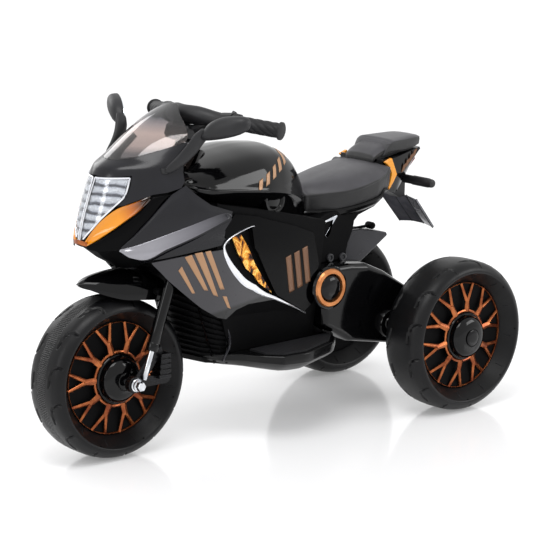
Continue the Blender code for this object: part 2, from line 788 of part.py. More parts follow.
# Floor pan with its footboards, the rubber mats and the accelerator pedal

PAN_TOP_HALF = (
    (0.188, 0.052), (0.166, 0.092), (0.132, 0.116), (0.112, 0.150), (0.080, 0.184), (0.020, 0.190),
    (-0.075, 0.156), (-0.104, 0.128), (-0.114, 0.100), (-0.116, 0.068), (-0.150, 0.068), (-0.150, 0.0),
)
PAN_LOW_HALF = (
    (0.168, 0.042), (0.148, 0.074), (0.118, 0.098), (0.095, 0.120), (0.066, 0.144), (0.016, 0.150),
    (-0.066, 0.120), (-0.090, 0.100), (-0.100, 0.085), (-0.104, 0.060), (-0.138, 0.060), (-0.138, 0.0),
)


def both_halves(half):
    return list(half) + [(x, -y) for x, y in reversed(half) if y > 0]


def floor_pan():
    top, low = both_halves(PAN_TOP_HALF), both_halves(PAN_LOW_HALF)
    waist = [(0.7 * a[0] + 0.3 * b[0], 0.8 * a[1] + 0.2 * b[1]) for a, b in zip(top, low)]
    inner = [(x * 0.985, y * 0.985) for x, y in top]
    rings = [
        [(x, y, FLOORPAN_BOTTOM) for x, y in low], [(x, y, 0.158) for x, y in waist],
        [(x, y, 0.166) for x, y in top], [(x, y, 0.180) for x, y in top],
        [(x, y, FLOORPAN_TOP) for x, y in inner],
    ]
    return loft("floor_pan", rings, matte_black("pan_black"))


MAT_TOP = FLOORPAN_TOP + GAP + 0.004
MAT_OUTLINE = (
    (0.104, 0.104), (0.100, 0.146), (0.074, 0.174), (0.020, 0.180), (-0.068, 0.148), (-0.100, 0.118),
    (-0.106, 0.104),
)
PEDAL_HINGE = Vector((0.000, -0.135, FLOORPAN_TOP + GAP + 0.0042))
PEDAL_HALF_WIDTH = 0.020
PEDAL_REACH = 0.074


def footboard_mat(word, side):
    outline = [(x, side * y) for x, y in MAT_OUTLINE]
    black = matte_black(f"mat_{word}")
    mat = plate_xy(f"footboard_mat_{word}", outline, FLOORPAN_TOP + GAP, MAT_TOP, black)
    if side < 0:
        room = PEDAL_HALF_WIDTH + 0.0045
        low = (PEDAL_HINGE.x - 0.0120, PEDAL_HINGE.y - room, FLOORPAN_TOP - 0.010)
        high = (PEDAL_HINGE.x + PEDAL_REACH + 0.0060, PEDAL_HINGE.y + room, MAT_TOP + 0.010)
        cut(mat, box("pedal_opening", low, high, black))
    return mat


PEDAL_TILT = radians(11)


def accelerator_pedal():
    hinge = joint_axis("accelerator_axis", PEDAL_HINGE, (0.0, -PEDAL_TILT, 0.0))
    outline = [
        (-0.0045, -0.0030), (PEDAL_REACH - 0.002, -0.0030), (PEDAL_REACH, 0.0015),
        (PEDAL_REACH - 0.004, 0.0035), (0.002, 0.0035), (-0.0045, 0.0020),
    ]
    turn = Matrix.Rotation(-PEDAL_TILT, 4, "Y")
    rings = [
        [tuple(PEDAL_HINGE + turn @ Vector((x, y, z))) for x, z in outline]
        for y in (-PEDAL_HALF_WIDTH, PEDAL_HALF_WIDTH)
    ]
    return rounded(loft("accelerator_pedal", rings, matte_black("pedal_black"), hinge), 0.001, 1)


floor_pan()
for word, side in SIDES:
    footboard_mat(word, side)
accelerator_pedal()


# Tank cover, dash and its switches

def tank_cover():
    rings = []
    for x, half, low_half, floor, top in TANK_STATIONS:
        tall = top - floor
        side_line = [
            (low_half * 0.90, floor), (max(half, low_half), floor + 0.22 * tall),
            (half * 0.985, floor + 0.48 * tall), (half * 0.86, floor + 0.74 * tall),
            (half * 0.62, floor + 0.92 * tall), (half * 0.30, top),
        ]
        rings.append([(x, y, z) for y, z in side_line] + [(x, -y, z) for y, z in reversed(side_line)])
    tank = loft("tank_cover", rings, gloss_black("tank_black"), mirrored_rings=True)
    black = tank.data.materials[0]
    cut(tank, rod("steering_notch", steer_point(0.40), steer_point(0.70), 0.052, black, sides=20))
    front = [(0.190, 0.0540), (0.300, 0.0900), (0.300, -0.0900), (0.190, -0.0540)]
    cut(tank, plate_xy("dash_space", front, 0.40, 0.70, black))
    return tank


DASH_TOP = 0.5710
POWER_AT = Vector((0.262, -0.040, DASH_TOP))
ROCKER_AT = Vector((0.262, 0.040, DASH_TOP))
BUTTON_R = 0.0085
ROCKER_SIZE = Vector((0.016, 0.024, 0.009))


def dash_panel():
    half = ((0.236, 0.0), (0.236, 0.066), (0.292, 0.084), (0.330, 0.058), (0.352, 0.030), (0.352, 0.0))
    outline = list(half) + [(x, -y) for x, y in reversed(half) if y > 0]
    black = matte_black("dash_black")
    dash = rounded(plate_xy("dash_panel", outline, 0.5504, DASH_TOP, black), 0.003, 1)
    deep = Vector((0.0, 0.0, 0.0100))
    cut(dash, rod("power_hole", POWER_AT - deep, POWER_AT + deep, BUTTON_R + 0.0005, black))
    half_size = ROCKER_SIZE / 2 + Vector((0.0012, 0.0006, 0.0))
    cut(dash, box("rocker_hole", ROCKER_AT - half_size - deep / 2, ROCKER_AT + half_size, black))
    cut(dash, rod("dash_notch", steer_point(0.40), steer_point(0.70), 0.030, black, sides=16))
    return dash


def power_button():
    axis = joint_axis("power_button_axis", POWER_AT)
    top = POWER_AT + Vector((0, 0, 0.004))
    red = finish("button_red", (0.55, 0.03, 0.02), 0.35)
    return rod("power_button", POWER_AT - Vector((0, 0, 0.0065)), top, BUTTON_R, red, axis)


def direction_rocker():
    axis = joint_axis("direction_rocker_axis", ROCKER_AT)
    outline = [
        (-0.0080, 0.0042), (-0.0080, 0.0024), (-0.0035, -0.0033), (0.0035, -0.0033), (0.0080, 0.0024),
        (0.0080, 0.0042), (0.0, 0.0020),
    ]
    rings = [[tuple(ROCKER_AT + Vector((x, y, z))) for x, z in outline] for y in (-0.012, 0.012)]
    return loft("direction_rocker", rings, matte_black("rocker_black"), axis)


tank_cover()
dash_panel()
power_button()
direction_rocker()


# Seat, tail and what hangs from it

# Seat stations: place along the bike, half width, top, side crease and underside
SEAT_STATIONS = (
    (-0.1000, 0.046, 0.486, 0.466, 0.4332),
    (-0.1250, 0.064, 0.493, 0.467, 0.4327),
    (-0.1750, 0.089, 0.505, 0.467, 0.4367),
    (-0.2250, 0.097, 0.520, 0.474, 0.4442),
    (-0.2440, 0.097, 0.528, 0.478, 0.4480),
    (-0.2520, 0.096, 0.547, 0.484, 0.4510),
    (-0.2640, 0.094, 0.555, 0.500, 0.4560),
    (-0.2740, 0.089, 0.557, 0.536, 0.5220),
    (-0.3200, 0.080, 0.561, 0.538, 0.5270),
    (-0.3700, 0.066, 0.564, 0.541, 0.5300),
    (-0.4150, 0.052, 0.564, 0.545, 0.5340),
    (-0.4380, 0.040, 0.558, 0.549, 0.5390),
)


def seat_cushion():
    rings = []
    for x, half, top, crease, low in SEAT_STATIONS:
        crease = max(crease, low + 0.008)
        section = [
            (half * 0.30, top), (half * 0.70, top - 0.22 * (top - crease)), (half * 0.96, crease + 0.004),
            (half, crease - 0.004), (half * 0.97, 0.5 * (crease + low)), (half * 0.90, low),
            (half * 0.40, low),
        ]
        rings.append([(x, y, z) for y, z in section] + [(x, -y, z) for y, z in reversed(section)])
    leather = finish("seat_leather", (0.06, 0.06, 0.065), 0.50)
    seat = loft("seat_cushion", rings, leather, mirrored_rings=True)
    soft = seat.modifiers.new("soft form", "SUBSURF")
    soft.levels = 1
    soft.render_levels = 1
    return seat


TAIL_FACE_LOW = (-0.3450, 0.4440)
TAIL_FACE_TOP = (-0.4320, 0.5250)


def tail_face_z(x):
    return float(np.interp(-x, (-TAIL_FACE_LOW[0], -TAIL_FACE_TOP[0]), (TAIL_FACE_LOW[1], TAIL_FACE_TOP[1])))


def on_tail_face(along, out):
    low, top = Vector((*TAIL_FACE_LOW,)), Vector((*TAIL_FACE_TOP,))
    way = (top - low).normalized()
    normal = Vector((-way.y, way.x))
    if normal.x > 0:
        normal = -normal
    place_at = low + way * along + normal * out
    return (place_at.x, place_at.y)


def tail_half(x):
    return float(np.interp(-x, (0.290, 0.320, 0.345, 0.390, 0.432), (0.070, 0.0667, 0.0620, 0.052, 0.040)))


def tail_cowl():
    stations = (
        (-0.2900, 0.4620, 0.5150),
        (-0.3200, 0.4500, 0.5210),
        (-0.3450, 0.4440, 0.5250),
        (-0.3900, tail_face_z(-0.3900), 0.5290),
        (-0.4320, TAIL_FACE_TOP[1], 0.5320),
    )
    rings = []
    for x, low, high in stations:
        half = tail_half(x)
        section = [(half * 0.80, low), (half, low + 0.45 * (high - low)), (half * 0.94, high)]
        rings.append([(x, y, z) for y, z in section] + [(x, -y, z) for y, z in reversed(section)])
    return loft("tail_cowl", rings, gloss_black("tail_black"), mirrored_rings=True)


def tail_blade(word, side):
    # A pointed amber blade that lies along the cowl's side.
    outline = (
        (-0.2910, 0.5160), (-0.3080, 0.5200), (-0.3160, 0.5060), (-0.3200, 0.4890), (-0.3130, 0.4740),
        (-0.3010, 0.4590), (-0.2985, 0.4640), (-0.3040, 0.4780), (-0.3080, 0.4930), (-0.3000, 0.5080),
    )
    rings = [[(x, side * (tail_half(x) + out), z) for x, z in outline] for out in (GAP, 0.0045)]
    return loft(f"tail_blade_{word}", rings, amber(f"tail_amber_{word}"))


def tail_light():
    foot = GAP * 1.5
    outline = [
        on_tail_face(0.062, foot), on_tail_face(0.100, foot), on_tail_face(0.097, 0.006),
        on_tail_face(0.065, 0.006),
    ]
    red = finish("tail_light_red", (0.45, 0.01, 0.01), 0.15)
    return plate_xz("tail_light", outline, -0.026, 0.026, red)


SIGNAL_AT = (-0.3910, 0.4660)
SIGNAL_R = 0.0090


def rear_fender():
    plate = [(-0.3985, 0.4280), (-0.4010, 0.4235), (-0.4555, 0.3560), (-0.4600, 0.3600), (-0.4060, 0.4275)]
    black = matte_black("rear_fender_black")
    flap = plate_xz("rear_fender", plate, -0.055, 0.055, black)
    arm = [
        on_tail_face(0.004, GAP * 2), on_tail_face(0.048, GAP * 2), (-0.4020, 0.4640), (-0.4010, 0.4245),
        (-0.3850, 0.4240),
    ]
    join(flap, plate_xz("fender_arm", arm, -0.016, 0.016, black))
    x, z = SIGNAL_AT
    cut(flap, rod("signal_hole", (x, -0.05, z), (x, 0.05, z), SIGNAL_R + GAP, black, sides=14))
    return flap


def rear_signal_bar():
    x, z = SIGNAL_AT
    ends = ((0.0, 0.120), (0.0050, 0.120), (SIGNAL_R, 0.112))
    profile = list(ends) + [(r, -y) for r, y in reversed(ends)]
    return turned_y("rear_signal_bar", profile, (x, 0.0, z), matte_black("signal_black"), steps=14)


seat_cushion()
tail_cowl()
for word, side in SIDES:
    tail_blade(word, side)
rear_signal_bar()
tail_light()
rear_fender()


# Rear end: seat strut, swing arm covers, pivot rings, motor caps, axle, battery and silencer

def seat_strut():
    outline = [
        (-0.0756, 0.4090), (-0.0756, 0.3300), (-0.1900, 0.3300), (-0.2000, 0.3900), (-0.2850, 0.4440),
        (-0.2893, 0.4605), (-0.2680, 0.4500), (-0.2250, 0.4440), (-0.1750, 0.4360), (-0.1250, 0.4320),
        (-0.1000, 0.4230), (-0.0760, 0.4240),
    ]
    strut = plate_xz("seat_strut", outline, -0.078, 0.078, matte_black("strut_black"))
    return rounded(strut, 0.004, 1)


ARM_OUTLINE = (
    (-0.0754, 0.3290), (-0.0754, 0.2100), (-0.1500, 0.1640), (-0.2700, 0.1400), (-0.3780, 0.1300),
    (-0.4010, 0.1400), (-0.4080, 0.1600), (-0.4000, 0.1850), (-0.3100, 0.2620), (-0.2500, 0.3000),
    (-0.2000, 0.3230), (-0.1500, 0.3290),
)
ARM_MIDDLE = (-0.200, 0.235)


def swing_arm(word, side):
    # The outer face is drawn in all round, so the cover has a soft shoulder.
    stations = ((ARM_INNER_Y, 0.0), (ARM_OUTER_Y - 0.010, 0.0), (ARM_OUTER_Y, 0.010))
    middle = Vector(ARM_MIDDLE)
    rings = []
    for y, inset in stations:
        ring = []
        for point in ARM_OUTLINE:
            way = Vector(point) - middle
            x, z = middle + way.normalized() * (way.length - min(inset, 0.3 * way.length))
            ring.append((x, side * y, z))
        rings.append(ring)
    arm = loft(f"swing_arm_{word}", rings, gloss_black(f"arm_black_{word}"))
    near, far = side * 0.05, side * 0.15
    hub = (-HALF_WHEELBASE, WHEEL_R)
    black = arm.data.materials[0]
    join(arm, motor_cap(word, side, black))
    ends = ((hub[0], near, hub[1]), (hub[0], far, hub[1]))
    cut(arm, rod(f"arm_axle_hole_{word}", *ends, AXLE_R + 0.0004, black))
    return arm


def pivot_ring(word, side):
    y = side * (ARM_OUTER_Y + GAP)
    section = ((0.0290, 0.0), (0.0300, 0.0070), (0.0375, 0.0070), (0.0400, 0.0030), (0.0400, 0.0))
    profile = [(radius, side * along) for radius, along in section][::side]
    material = copper(f"ring_copper_{word}")
    return turned_y(f"pivot_ring_{word}", profile, (PIVOT_X, y, PIVOT_Z), material, steps=24, closed=True)


MOTOR_AT = (-0.2560, 0.1880)


def motor_cap(word, side, material):
    y = side * (ARM_OUTER_Y - 0.004)
    rings = (
        (0.0, 0.0160), (0.0150, 0.0160), (0.0165, 0.0135), (0.0230, 0.0135), (0.0245, 0.0160),
        (0.0290, 0.0150), (0.0300, 0.0), (0.0, 0.0),
    )
    profile = [(radius, side * along) for radius, along in rings][::side]
    return turned_y(f"motor_cap_{word}", profile, (MOTOR_AT[0], y, MOTOR_AT[1]), material, steps=24)


def rear_axle():
    steel = finish("axle_steel", (0.55, 0.55, 0.56), 0.30, metallic=1.0)
    end = REAR_HALF_TRACK + 0.028
    ends = ((-HALF_WHEELBASE, -end, WHEEL_R), (-HALF_WHEELBASE, end, WHEEL_R))
    return rod("rear_axle", *ends, AXLE_R, steel, sides=18)


def battery():
    case = box("battery", (-0.2250, -0.0692, 0.1960), (-0.0765, 0.0692, 0.3000), matte_black("battery_black"))
    return rounded(case, 0.004, 1)


def silencer():
    outline = [
        (-0.2700, 0.3460), (-0.2620, 0.3220), (-0.3050, 0.2840), (-0.3480, 0.2680), (-0.3700, 0.2760),
        (-0.4560, 0.3220), (-0.3900, 0.3400), (-0.3600, 0.3480),
    ]
    grey = finish("silencer_grey", (0.05, 0.05, 0.055), 0.25, metallic=0.3)
    body = plate_xz("silencer", outline, -0.124, -0.070, grey)
    rounded(body, 0.010, 2, angle=60)
    pipe_ends = ((-0.1985, -0.060, 0.3560), (-0.300, -0.092, 0.322))
    join(body, rod("exhaust_pipe", *pipe_ends, 0.0120, grey, sides=12))
    return body


seat_strut()
for word, side in SIDES:
    swing_arm(word, side)
    pivot_ring(word, side)
rear_axle()
battery()
silencer()


# Mirrors: each swivels at its foot on the cowl, and its glass is a separate piece

MIRROR_FOOT = Vector((0.302, 0.0880, 0.5720))
MIRROR_INNER = Vector((0.244, 0.1300, 0.6450))
MIRROR_OUTER = Vector((0.198, 0.2180, 0.6620))
MIRROR_HALF_HEIGHT = 0.0250
# The head's outline, as parts of its half length and half height
MIRROR_OUTLINE = (
    (-1.00, -0.25), (-0.70, 0.80), (0.10, 1.00), (0.85, 0.75), (1.00, 0.10), (0.80, -0.80), (-0.20, -1.00),
    (-0.80, -0.75),
)


def mirror(word, side):
    def on_side(point):
        return Vector((point.x, side * point.y, point.z))

    foot, inner, outer = on_side(MIRROR_FOOT), on_side(MIRROR_INNER), on_side(MIRROR_OUTER)
    pivot = joint_axis(f"mirror_axis_{word}", foot)
    black = matte_black(f"mirror_black_{word}")
    arm_path = [
        foot + on_side(Vector((0.0, 0.0125, 0.002))),
        foot + on_side(Vector((-0.020, 0.014, 0.018))),
        inner + Vector((0.010, 0.0, -0.022)),
        inner + on_side(Vector((-0.004, 0.012, 0.004))),
    ]
    arm = tube(f"mirror_{word}", arm_path, 0.0075, black, pivot)
    centre = (inner + outer) / 2
    half_length = (outer - inner).length / 2
    across = (outer - inner).normalized()
    up = Vector((0.0, 0.0, 1.0))
    forward = across.cross(up).normalized() * side

    def head_ring(depth, scale):
        return [
            centre + (across * a * half_length + up * b * MIRROR_HALF_HEIGHT) * scale + forward * depth
            for a, b in MIRROR_OUTLINE
        ]

    shell = [head_ring(-0.007, 0.97), head_ring(0.0, 1.0), head_ring(0.010, 0.80), head_ring(0.016, 0.45)]
    join(arm, loft(f"mirror_shell_{word}", shell, black))
    glass = finish(f"mirror_glass_{word}", (0.85, 0.87, 0.90), 0.03, metallic=1.0)
    loft(f"mirror_glass_{word}", [head_ring(-0.0098, 0.85), head_ring(-0.0076, 0.85)], glass, pivot)
    return arm


for word, side in SIDES:
    mirror(word, side)
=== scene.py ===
from math import acos, cos, degrees, pi, radians, sin

import bmesh
import bpy
import numpy as np
from mathutils import Matrix, Vector


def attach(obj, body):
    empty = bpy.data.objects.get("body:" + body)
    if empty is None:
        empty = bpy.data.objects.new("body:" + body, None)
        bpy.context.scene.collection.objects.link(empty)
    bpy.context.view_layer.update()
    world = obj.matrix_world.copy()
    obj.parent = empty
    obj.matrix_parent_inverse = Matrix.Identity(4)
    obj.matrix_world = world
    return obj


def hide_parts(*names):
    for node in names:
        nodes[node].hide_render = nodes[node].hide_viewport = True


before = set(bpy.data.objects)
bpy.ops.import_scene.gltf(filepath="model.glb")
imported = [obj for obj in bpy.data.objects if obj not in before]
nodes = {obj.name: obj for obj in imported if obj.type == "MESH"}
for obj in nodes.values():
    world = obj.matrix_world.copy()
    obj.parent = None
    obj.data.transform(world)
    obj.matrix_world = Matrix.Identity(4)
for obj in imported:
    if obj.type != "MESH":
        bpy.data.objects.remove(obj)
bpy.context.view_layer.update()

sides = (("left", 1), ("right", -1))
print("frame loaded:", len(nodes), "CAD nodes")


# Colours are written as sRGB hex and turned to linear here.
def colour(code):
    channels = [int(code[i:i + 2], 16) / 255 for i in (1, 3, 5)]
    return tuple(c / 12.92 if c <= 0.04045 else ((c + 0.055) / 1.055) ** 2.4 for c in channels) + (1.0,)


def addNode(tree, kind, values=None, links=None, **settings):
    node = tree.nodes.new(kind)
    for key, value in settings.items():
        setattr(node, key, value)
    for key, value in (values or {}).items():
        node.inputs[key].default_value = value
    for key, source in (links or {}).items():
        tree.links.new(source, node.inputs[key])
    return node


def newMaterial(name, base, roughness, **shaderValues):
    material = bpy.data.materials.new(name)
    material.use_nodes = True
    tree = material.node_tree
    shader = tree.nodes["Principled BSDF"]
    shader.inputs["Base Color"].default_value = colour(base)
    shader.inputs["Roughness"].default_value = roughness
    for key, value in shaderValues.items():
        shader.inputs[key.replace("_", " ")].default_value = value
    material.diffuse_color = colour(base)
    return material, tree, shader


def ramp(tree, source, stops):
    # Stops are pairs of place and hex colour.
    node = addNode(tree, "ShaderNodeValToRGB", links={"Fac": source})
    for i, (at, code) in enumerate(stops):
        stop = node.color_ramp.elements[i] if i < 2 else node.color_ramp.elements.new(at)
        stop.position = at
        stop.color = colour(code)
    return node.outputs["Color"]


def noise(tree, millimetres, detail=3.0, distortion=0.0, stretch=(1, 1, 1)):
    # Noise whose features are about this many millimetres across, in the object's own space.
    coords = addNode(tree, "ShaderNodeTexCoord")
    mapping = addNode(tree, "ShaderNodeMapping", {"Scale": stretch}, {"Vector": coords.outputs["Object"]})
    pattern = addNode(
        tree, "ShaderNodeTexNoise", {"Scale": 1000 / millimetres, "Detail": detail, "Distortion": distortion},
        {"Vector": mapping.outputs["Vector"]},
    )
    return pattern.outputs["Fac"]


def spread(tree, source, low, high):
    return addNode(tree, "ShaderNodeMapRange", {"To Min": low, "To Max": high}, {"Value": source}).outputs["Result"]


def coat(tree, shader, source, stops, polish, low, high):
    # The base colour follows one pattern through the stops, and the roughness another from low to high.
    tree.links.new(ramp(tree, source, stops), shader.inputs["Base Color"])
    tree.links.new(spread(tree, polish, low, high), shader.inputs["Roughness"])


def bump(tree, shader, height, millimetres, strength=1.0, under=None):
    links = {"Height": height}
    if under is not None:
        links["Normal"] = under
    node = addNode(tree, "ShaderNodeBump", {"Distance": millimetres / 1000, "Strength": strength}, links)
    tree.links.new(node.outputs["Normal"], shader.inputs["Normal"])
    return node.outputs["Normal"]


# One recipe for the moulded plastics: a base colour with a faint mottle, a roughness that varies as handled
# plastic does, and the surface that the mould leaves.
def moulded(name, base, roughness, mottle, grain, depth, wear=0.05, **shaderValues):
    material, tree, shader = newMaterial(name, base, roughness, **shaderValues)
    coat(tree, shader, noise(tree, 60, 4.0), ((0.30, base), (0.75, mottle)), noise(tree, 18, 6.0, 0.4),
         max(0.02, roughness - wear), roughness + wear)
    bump(tree, shader, noise(tree, grain, 2.0), depth, 0.6)
    return material


finishes = {}
# Gloss black ABS from a polished mould: deep black with sharp reflections and a faint orange peel 9 mm across.
finishes["glossAbs"] = moulded(
    "gloss black ABS, polished mould", "#040405", 0.08, "#060607", 9.0, 0.04, 0.03, IOR=1.52, Specular_IOR_Level=0.24,
)
# The same gloss black ABS for the cowl and the fairings, its colour lifted to a charcoal grey: a painted reflection of
# soft, wide light.
finishes["reflectionGreyAbs"] = moulded(
    "gloss black ABS lifted grey, polished mould", "#151519", 0.22, "#1A1A1F", 9.0, 0.04, 0.05, IOR=1.52,
    Specular_IOR_Level=0.24, Coat_Weight=0.10, Coat_Roughness=0.10,
)
# Piano-black ABS of the side panels: so deep that only lamps and edges show on it.
finishes["pianoAbs"] = moulded(
    "piano black ABS, polished mould", "#020203", 0.12, "#030304", 9.0, 0.03, 0.03, IOR=1.5, Specular_IOR_Level=0.07,
)
# Matte polypropylene from a spark-eroded mould: a soft dark grey with a fine grain, drawn at 1.6 mm so it shows.
finishes["grainedPp"] = moulded(
    "matte black polypropylene, eroded grain", "#131315", 0.50, "#1A1A1D", 1.6, 0.10, 0.08, IOR=1.49,
    Specular_IOR_Level=0.42,
)
# The same plastic inside and under the toy, darker and duller: its darker colour is painted shade.
finishes["shadedInnerPp"] = moulded(
    "black polypropylene, inner moulding, painted shade", "#040405", 0.62, "#070708", 2.2, 0.08, 0.06, IOR=1.49,
    Specular_IOR_Level=0.08,
)
# Blow-moulded tyre plastic: charcoal with a slight sheen and a soft, even grain.
finishes["tyrePlastic"] = moulded(
    "blow-moulded polypropylene tyre", "#161618", 0.42, "#1E1E21", 1.4, 0.09, 0.07, IOR=1.49,
    Specular_IOR_Level=0.5,
)
# Thermoplastic rubber of the grips: the softest, dullest black on the toy.
finishes["gripRubber"] = moulded(
    "moulded thermoplastic rubber", "#141415", 0.55, "#1C1C1E", 1.2, 0.12, 0.08, IOR=1.5, Specular_IOR_Level=0.3,
)
# Footboard mats of dull foam rubber, ribbed further below.
finishes["matRubber"] = moulded(
    "ribbed EVA rubber mat", "#131315", 0.55, "#1B1B1E", 1.8, 0.12, 0.06, IOR=1.5, Specular_IOR_Level=0.3,
)
# Satin dark grey ABS of the silencer, with a little metallic flake.
finishes["satinAbs"] = moulded(
    "satin graphite ABS, painted", "#2B2B2F", 0.26, "#35353A", 5.0, 0.04, 0.05, IOR=1.5, Metallic=0.35,
)
# Small parts: switches, the battery and the one red button.
finishes["switchAbs"] = moulded(
    "dark grey ABS, satin switch moulding", "#232326", 0.34, "#2B2B2F", 1.5, 0.05, 0.05, IOR=1.5,
)
finishes["batteryCase"] = moulded(
    "charcoal ABS battery case", "#26282B", 0.45, "#2E3033", 2.0, 0.08, 0.05, IOR=1.5,
)
finishes["redAbs"] = moulded(
    "red ABS push button", "#A3180F", 0.30, "#B62114", 2.0, 0.03, 0.05, IOR=1.5,
)


# Painted and plated metals and metal-looking plastics: a metallic base with flake or drawing lines.
def plated(name, base, deep, roughness, flake, wear=0.05, metallic=1.0, **shaderValues):
    material, tree, shader = newMaterial(name, base, roughness, Metallic=metallic, **shaderValues)
    coat(tree, shader, noise(tree, 22, 4.0), ((0.35, deep), (0.65, base)), noise(tree, flake, 2.0),
         max(0.02, roughness - wear), roughness + wear)
    bump(tree, shader, noise(tree, 7, 2.0), 0.03, 0.5)
    return material


# Copper-coloured metallic paint on ABS: warm orange in the light, red-brown where it turns away.
finishes["copperPaint"] = plated("copper metallic paint on ABS", "#B66A3C", "#7C3C22", 0.26, 1.2, 0.08, 0.80)
finishes["ringPaint"] = plated("pale copper metallic paint on ABS", "#D08A55", "#B5703F", 0.30, 1.2, 0.06, 0.7)


def bandScale(pitch):
    # The wave texture's scale for bands this many millimetres apart.
    return 100 * pi / pitch


def lampReflector():
    # Aluminium-lacquered reflector, pale all over, with painted shade as a darker line under each of its moulded steps.
    material, tree, shader = newMaterial("aluminium-lacquered ABS reflector", "#F4F5F8", 0.28, Metallic=0.25)
    coords = addNode(tree, "ShaderNodeTexCoord")
    waves = addNode(
        tree, "ShaderNodeTexWave", {"Scale": bandScale(17), "Distortion": 1.6, "Detail": 1.0, "Detail Scale": 2.0},
        {"Vector": coords.outputs["Object"]}, bands_direction="Z",
    )
    stops = ((0.0, "#4C4E56"), (0.16, "#777983"), (0.38, "#D6D8DF"), (1.0, "#F6F7FA"))
    tree.links.new(ramp(tree, waves.outputs["Fac"], stops), shader.inputs["Base Color"])
    tree.links.new(spread(tree, noise(tree, 9, 3.0), 0.16, 0.40), shader.inputs["Roughness"])
    bump(tree, shader, waves.outputs["Fac"], 1.2, 0.7)
    return material


finishes["lampReflector"] = lampReflector()
# Vacuum-metallised trim: a near-white mirror with a slight ripple.
finishes["chromeAbs"] = plated("vacuum-metallised ABS reflector", "#F0F1F5", "#DCDEE5", 0.18, 4.0, 0.05, 0.75)
# Bright plated steel nuts and rods.
finishes["brightSteel"] = plated("chrome-plated steel", "#D8DADD", "#B9BCC2", 0.14, 2.0, 0.05)
finishes["greySteel"] = plated("zinc-plated steel", "#8D9095", "#74777C", 0.32, 1.5, 0.08)
# Black-coated steel of the stem and the fork's feet: dark metal with a soft highlight.
finishes["forkMetal"] = plated("black-coated steel", "#17171A", "#0E0E10", 0.28, 1.5, 0.07, 0.6)
finishes["barSteel"] = plated("powder-coated black steel tube", "#1B1B1D", "#121214", 0.42, 0.9, 0.08, 0.2)
finishes["mirrorFilm"] = plated("silvered acrylic mirror", "#E8ECF0", "#DDE2E8", 0.03, 6.0, 0.01)


def amberPaint():
    # Orange-amber gloss paint on ABS, with painted shade that darkens each front blade towards its back; further back
    # on the toy it stays fully amber.
    material, tree, shader = newMaterial("amber gloss paint on ABS", "#F29A12", 0.16, IOR=1.5, Coat_Weight=0.5)
    coords = addNode(tree, "ShaderNodeTexCoord")
    parts = addNode(tree, "ShaderNodeSeparateXYZ", links={"Vector": coords.outputs["Object"]})
    shadeFade = addNode(
        tree, "ShaderNodeMapRange", {"From Min": 0.338, "From Max": 0.392}, {"Value": parts.outputs["X"]},
    )
    behind = addNode(
        tree, "ShaderNodeMapRange", {"From Min": 0.05, "From Max": 0.0}, {"Value": parts.outputs["X"]},
    )
    both = addNode(
        tree, "ShaderNodeMath", links={0: shadeFade.outputs["Result"], 1: behind.outputs["Result"]}, operation="MAXIMUM",
    )
    tree.links.new(
        ramp(tree, both.outputs["Value"], ((0.0, "#170C05"), (0.25, "#3D1D07"), (0.62, "#BC6405"), (1.0, "#E69006"))),
        shader.inputs["Base Color"],
    )
    bump(tree, shader, noise(tree, 6, 2.0), 0.03, 0.5)
    return material


def seatVinyl():
    # Leatherette seat cover: matte charcoal, with a pebbled grain drawn at 2 mm and a soft sheen on its crowns.
    material, tree, shader = newMaterial(
        "embossed PVC leatherette", "#2C2B2F", 0.50, IOR=1.5, Sheen_Weight=0.15, Sheen_Roughness=0.4,
    )
    # The side walls are painted darker than the top where they face sideways: painted shade, changing near the ridge.
    shape = addNode(tree, "ShaderNodeNewGeometry")
    facing = addNode(tree, "ShaderNodeSeparateXYZ", links={"Vector": shape.outputs["Normal"]})
    wall = addNode(
        tree, "ShaderNodeMapRange", {"From Min": 0.42, "From Max": 0.60}, {"Value": facing.outputs["Z"]},
    )
    top = ramp(tree, noise(tree, 45, 4.0), ((0.3, "#313034"), (0.7, "#3B3A3F")))
    shadedWalls = addNode(tree, "ShaderNodeMixRGB", {"Color1": colour("#0E0E10")},
                     {"Fac": wall.outputs["Result"], "Color2": top})
    tree.links.new(shadedWalls.outputs["Color"], shader.inputs["Base Color"])
    tree.links.new(spread(tree, noise(tree, 14, 5.0), 0.42, 0.58), shader.inputs["Roughness"])
    coords = addNode(tree, "ShaderNodeTexCoord")
    pebbles = addNode(
        tree, "ShaderNodeTexVoronoi", {"Scale": 1000 / 2.0}, {"Vector": coords.outputs["Object"]},
        feature="SMOOTH_F1",
    )
    bump(tree, shader, pebbles.outputs["Distance"], 0.18, 0.5)
    return material


def smokeScreen():
    # Tinted polycarbonate: clear and warm in the middle, smoked darker towards its top edge.
    material, tree, shader = newMaterial(
        "smoke-tinted polycarbonate", "#B8A8A4", 0.05, IOR=1.58, Transmission_Weight=1.0,
    )
    coords = addNode(tree, "ShaderNodeTexCoord")
    parts = addNode(tree, "ShaderNodeSeparateXYZ", links={"Vector": coords.outputs["Object"]})
    height = addNode(
        tree, "ShaderNodeMapRange", {"From Min": 0.600, "From Max": 0.682}, {"Value": parts.outputs["Z"]},
    )
    tree.links.new(
        ramp(tree, height.outputs["Result"], ((0.0, "#5F5A5B"), (0.16, "#A2918C"), (0.42, "#B39F98"),
                                              (0.60, "#8F8485"), (0.72, "#5B595E"), (1.0, "#3E3D41"))),
        shader.inputs["Base Color"],
    )
    bump(tree, shader, noise(tree, 30, 1.0), 0.08, 0.3)
    return material


def clearCover():
    # Clear polycarbonate lamp cover: almost colourless, with one sharp reflection.
    material, tree, shader = newMaterial(
        "clear polycarbonate lamp cover", "#F4F6F9", 0.03, IOR=1.5, Transmission_Weight=1.0,
    )
    bump(tree, shader, noise(tree, 25, 1.0), 0.04, 0.3)
    return material


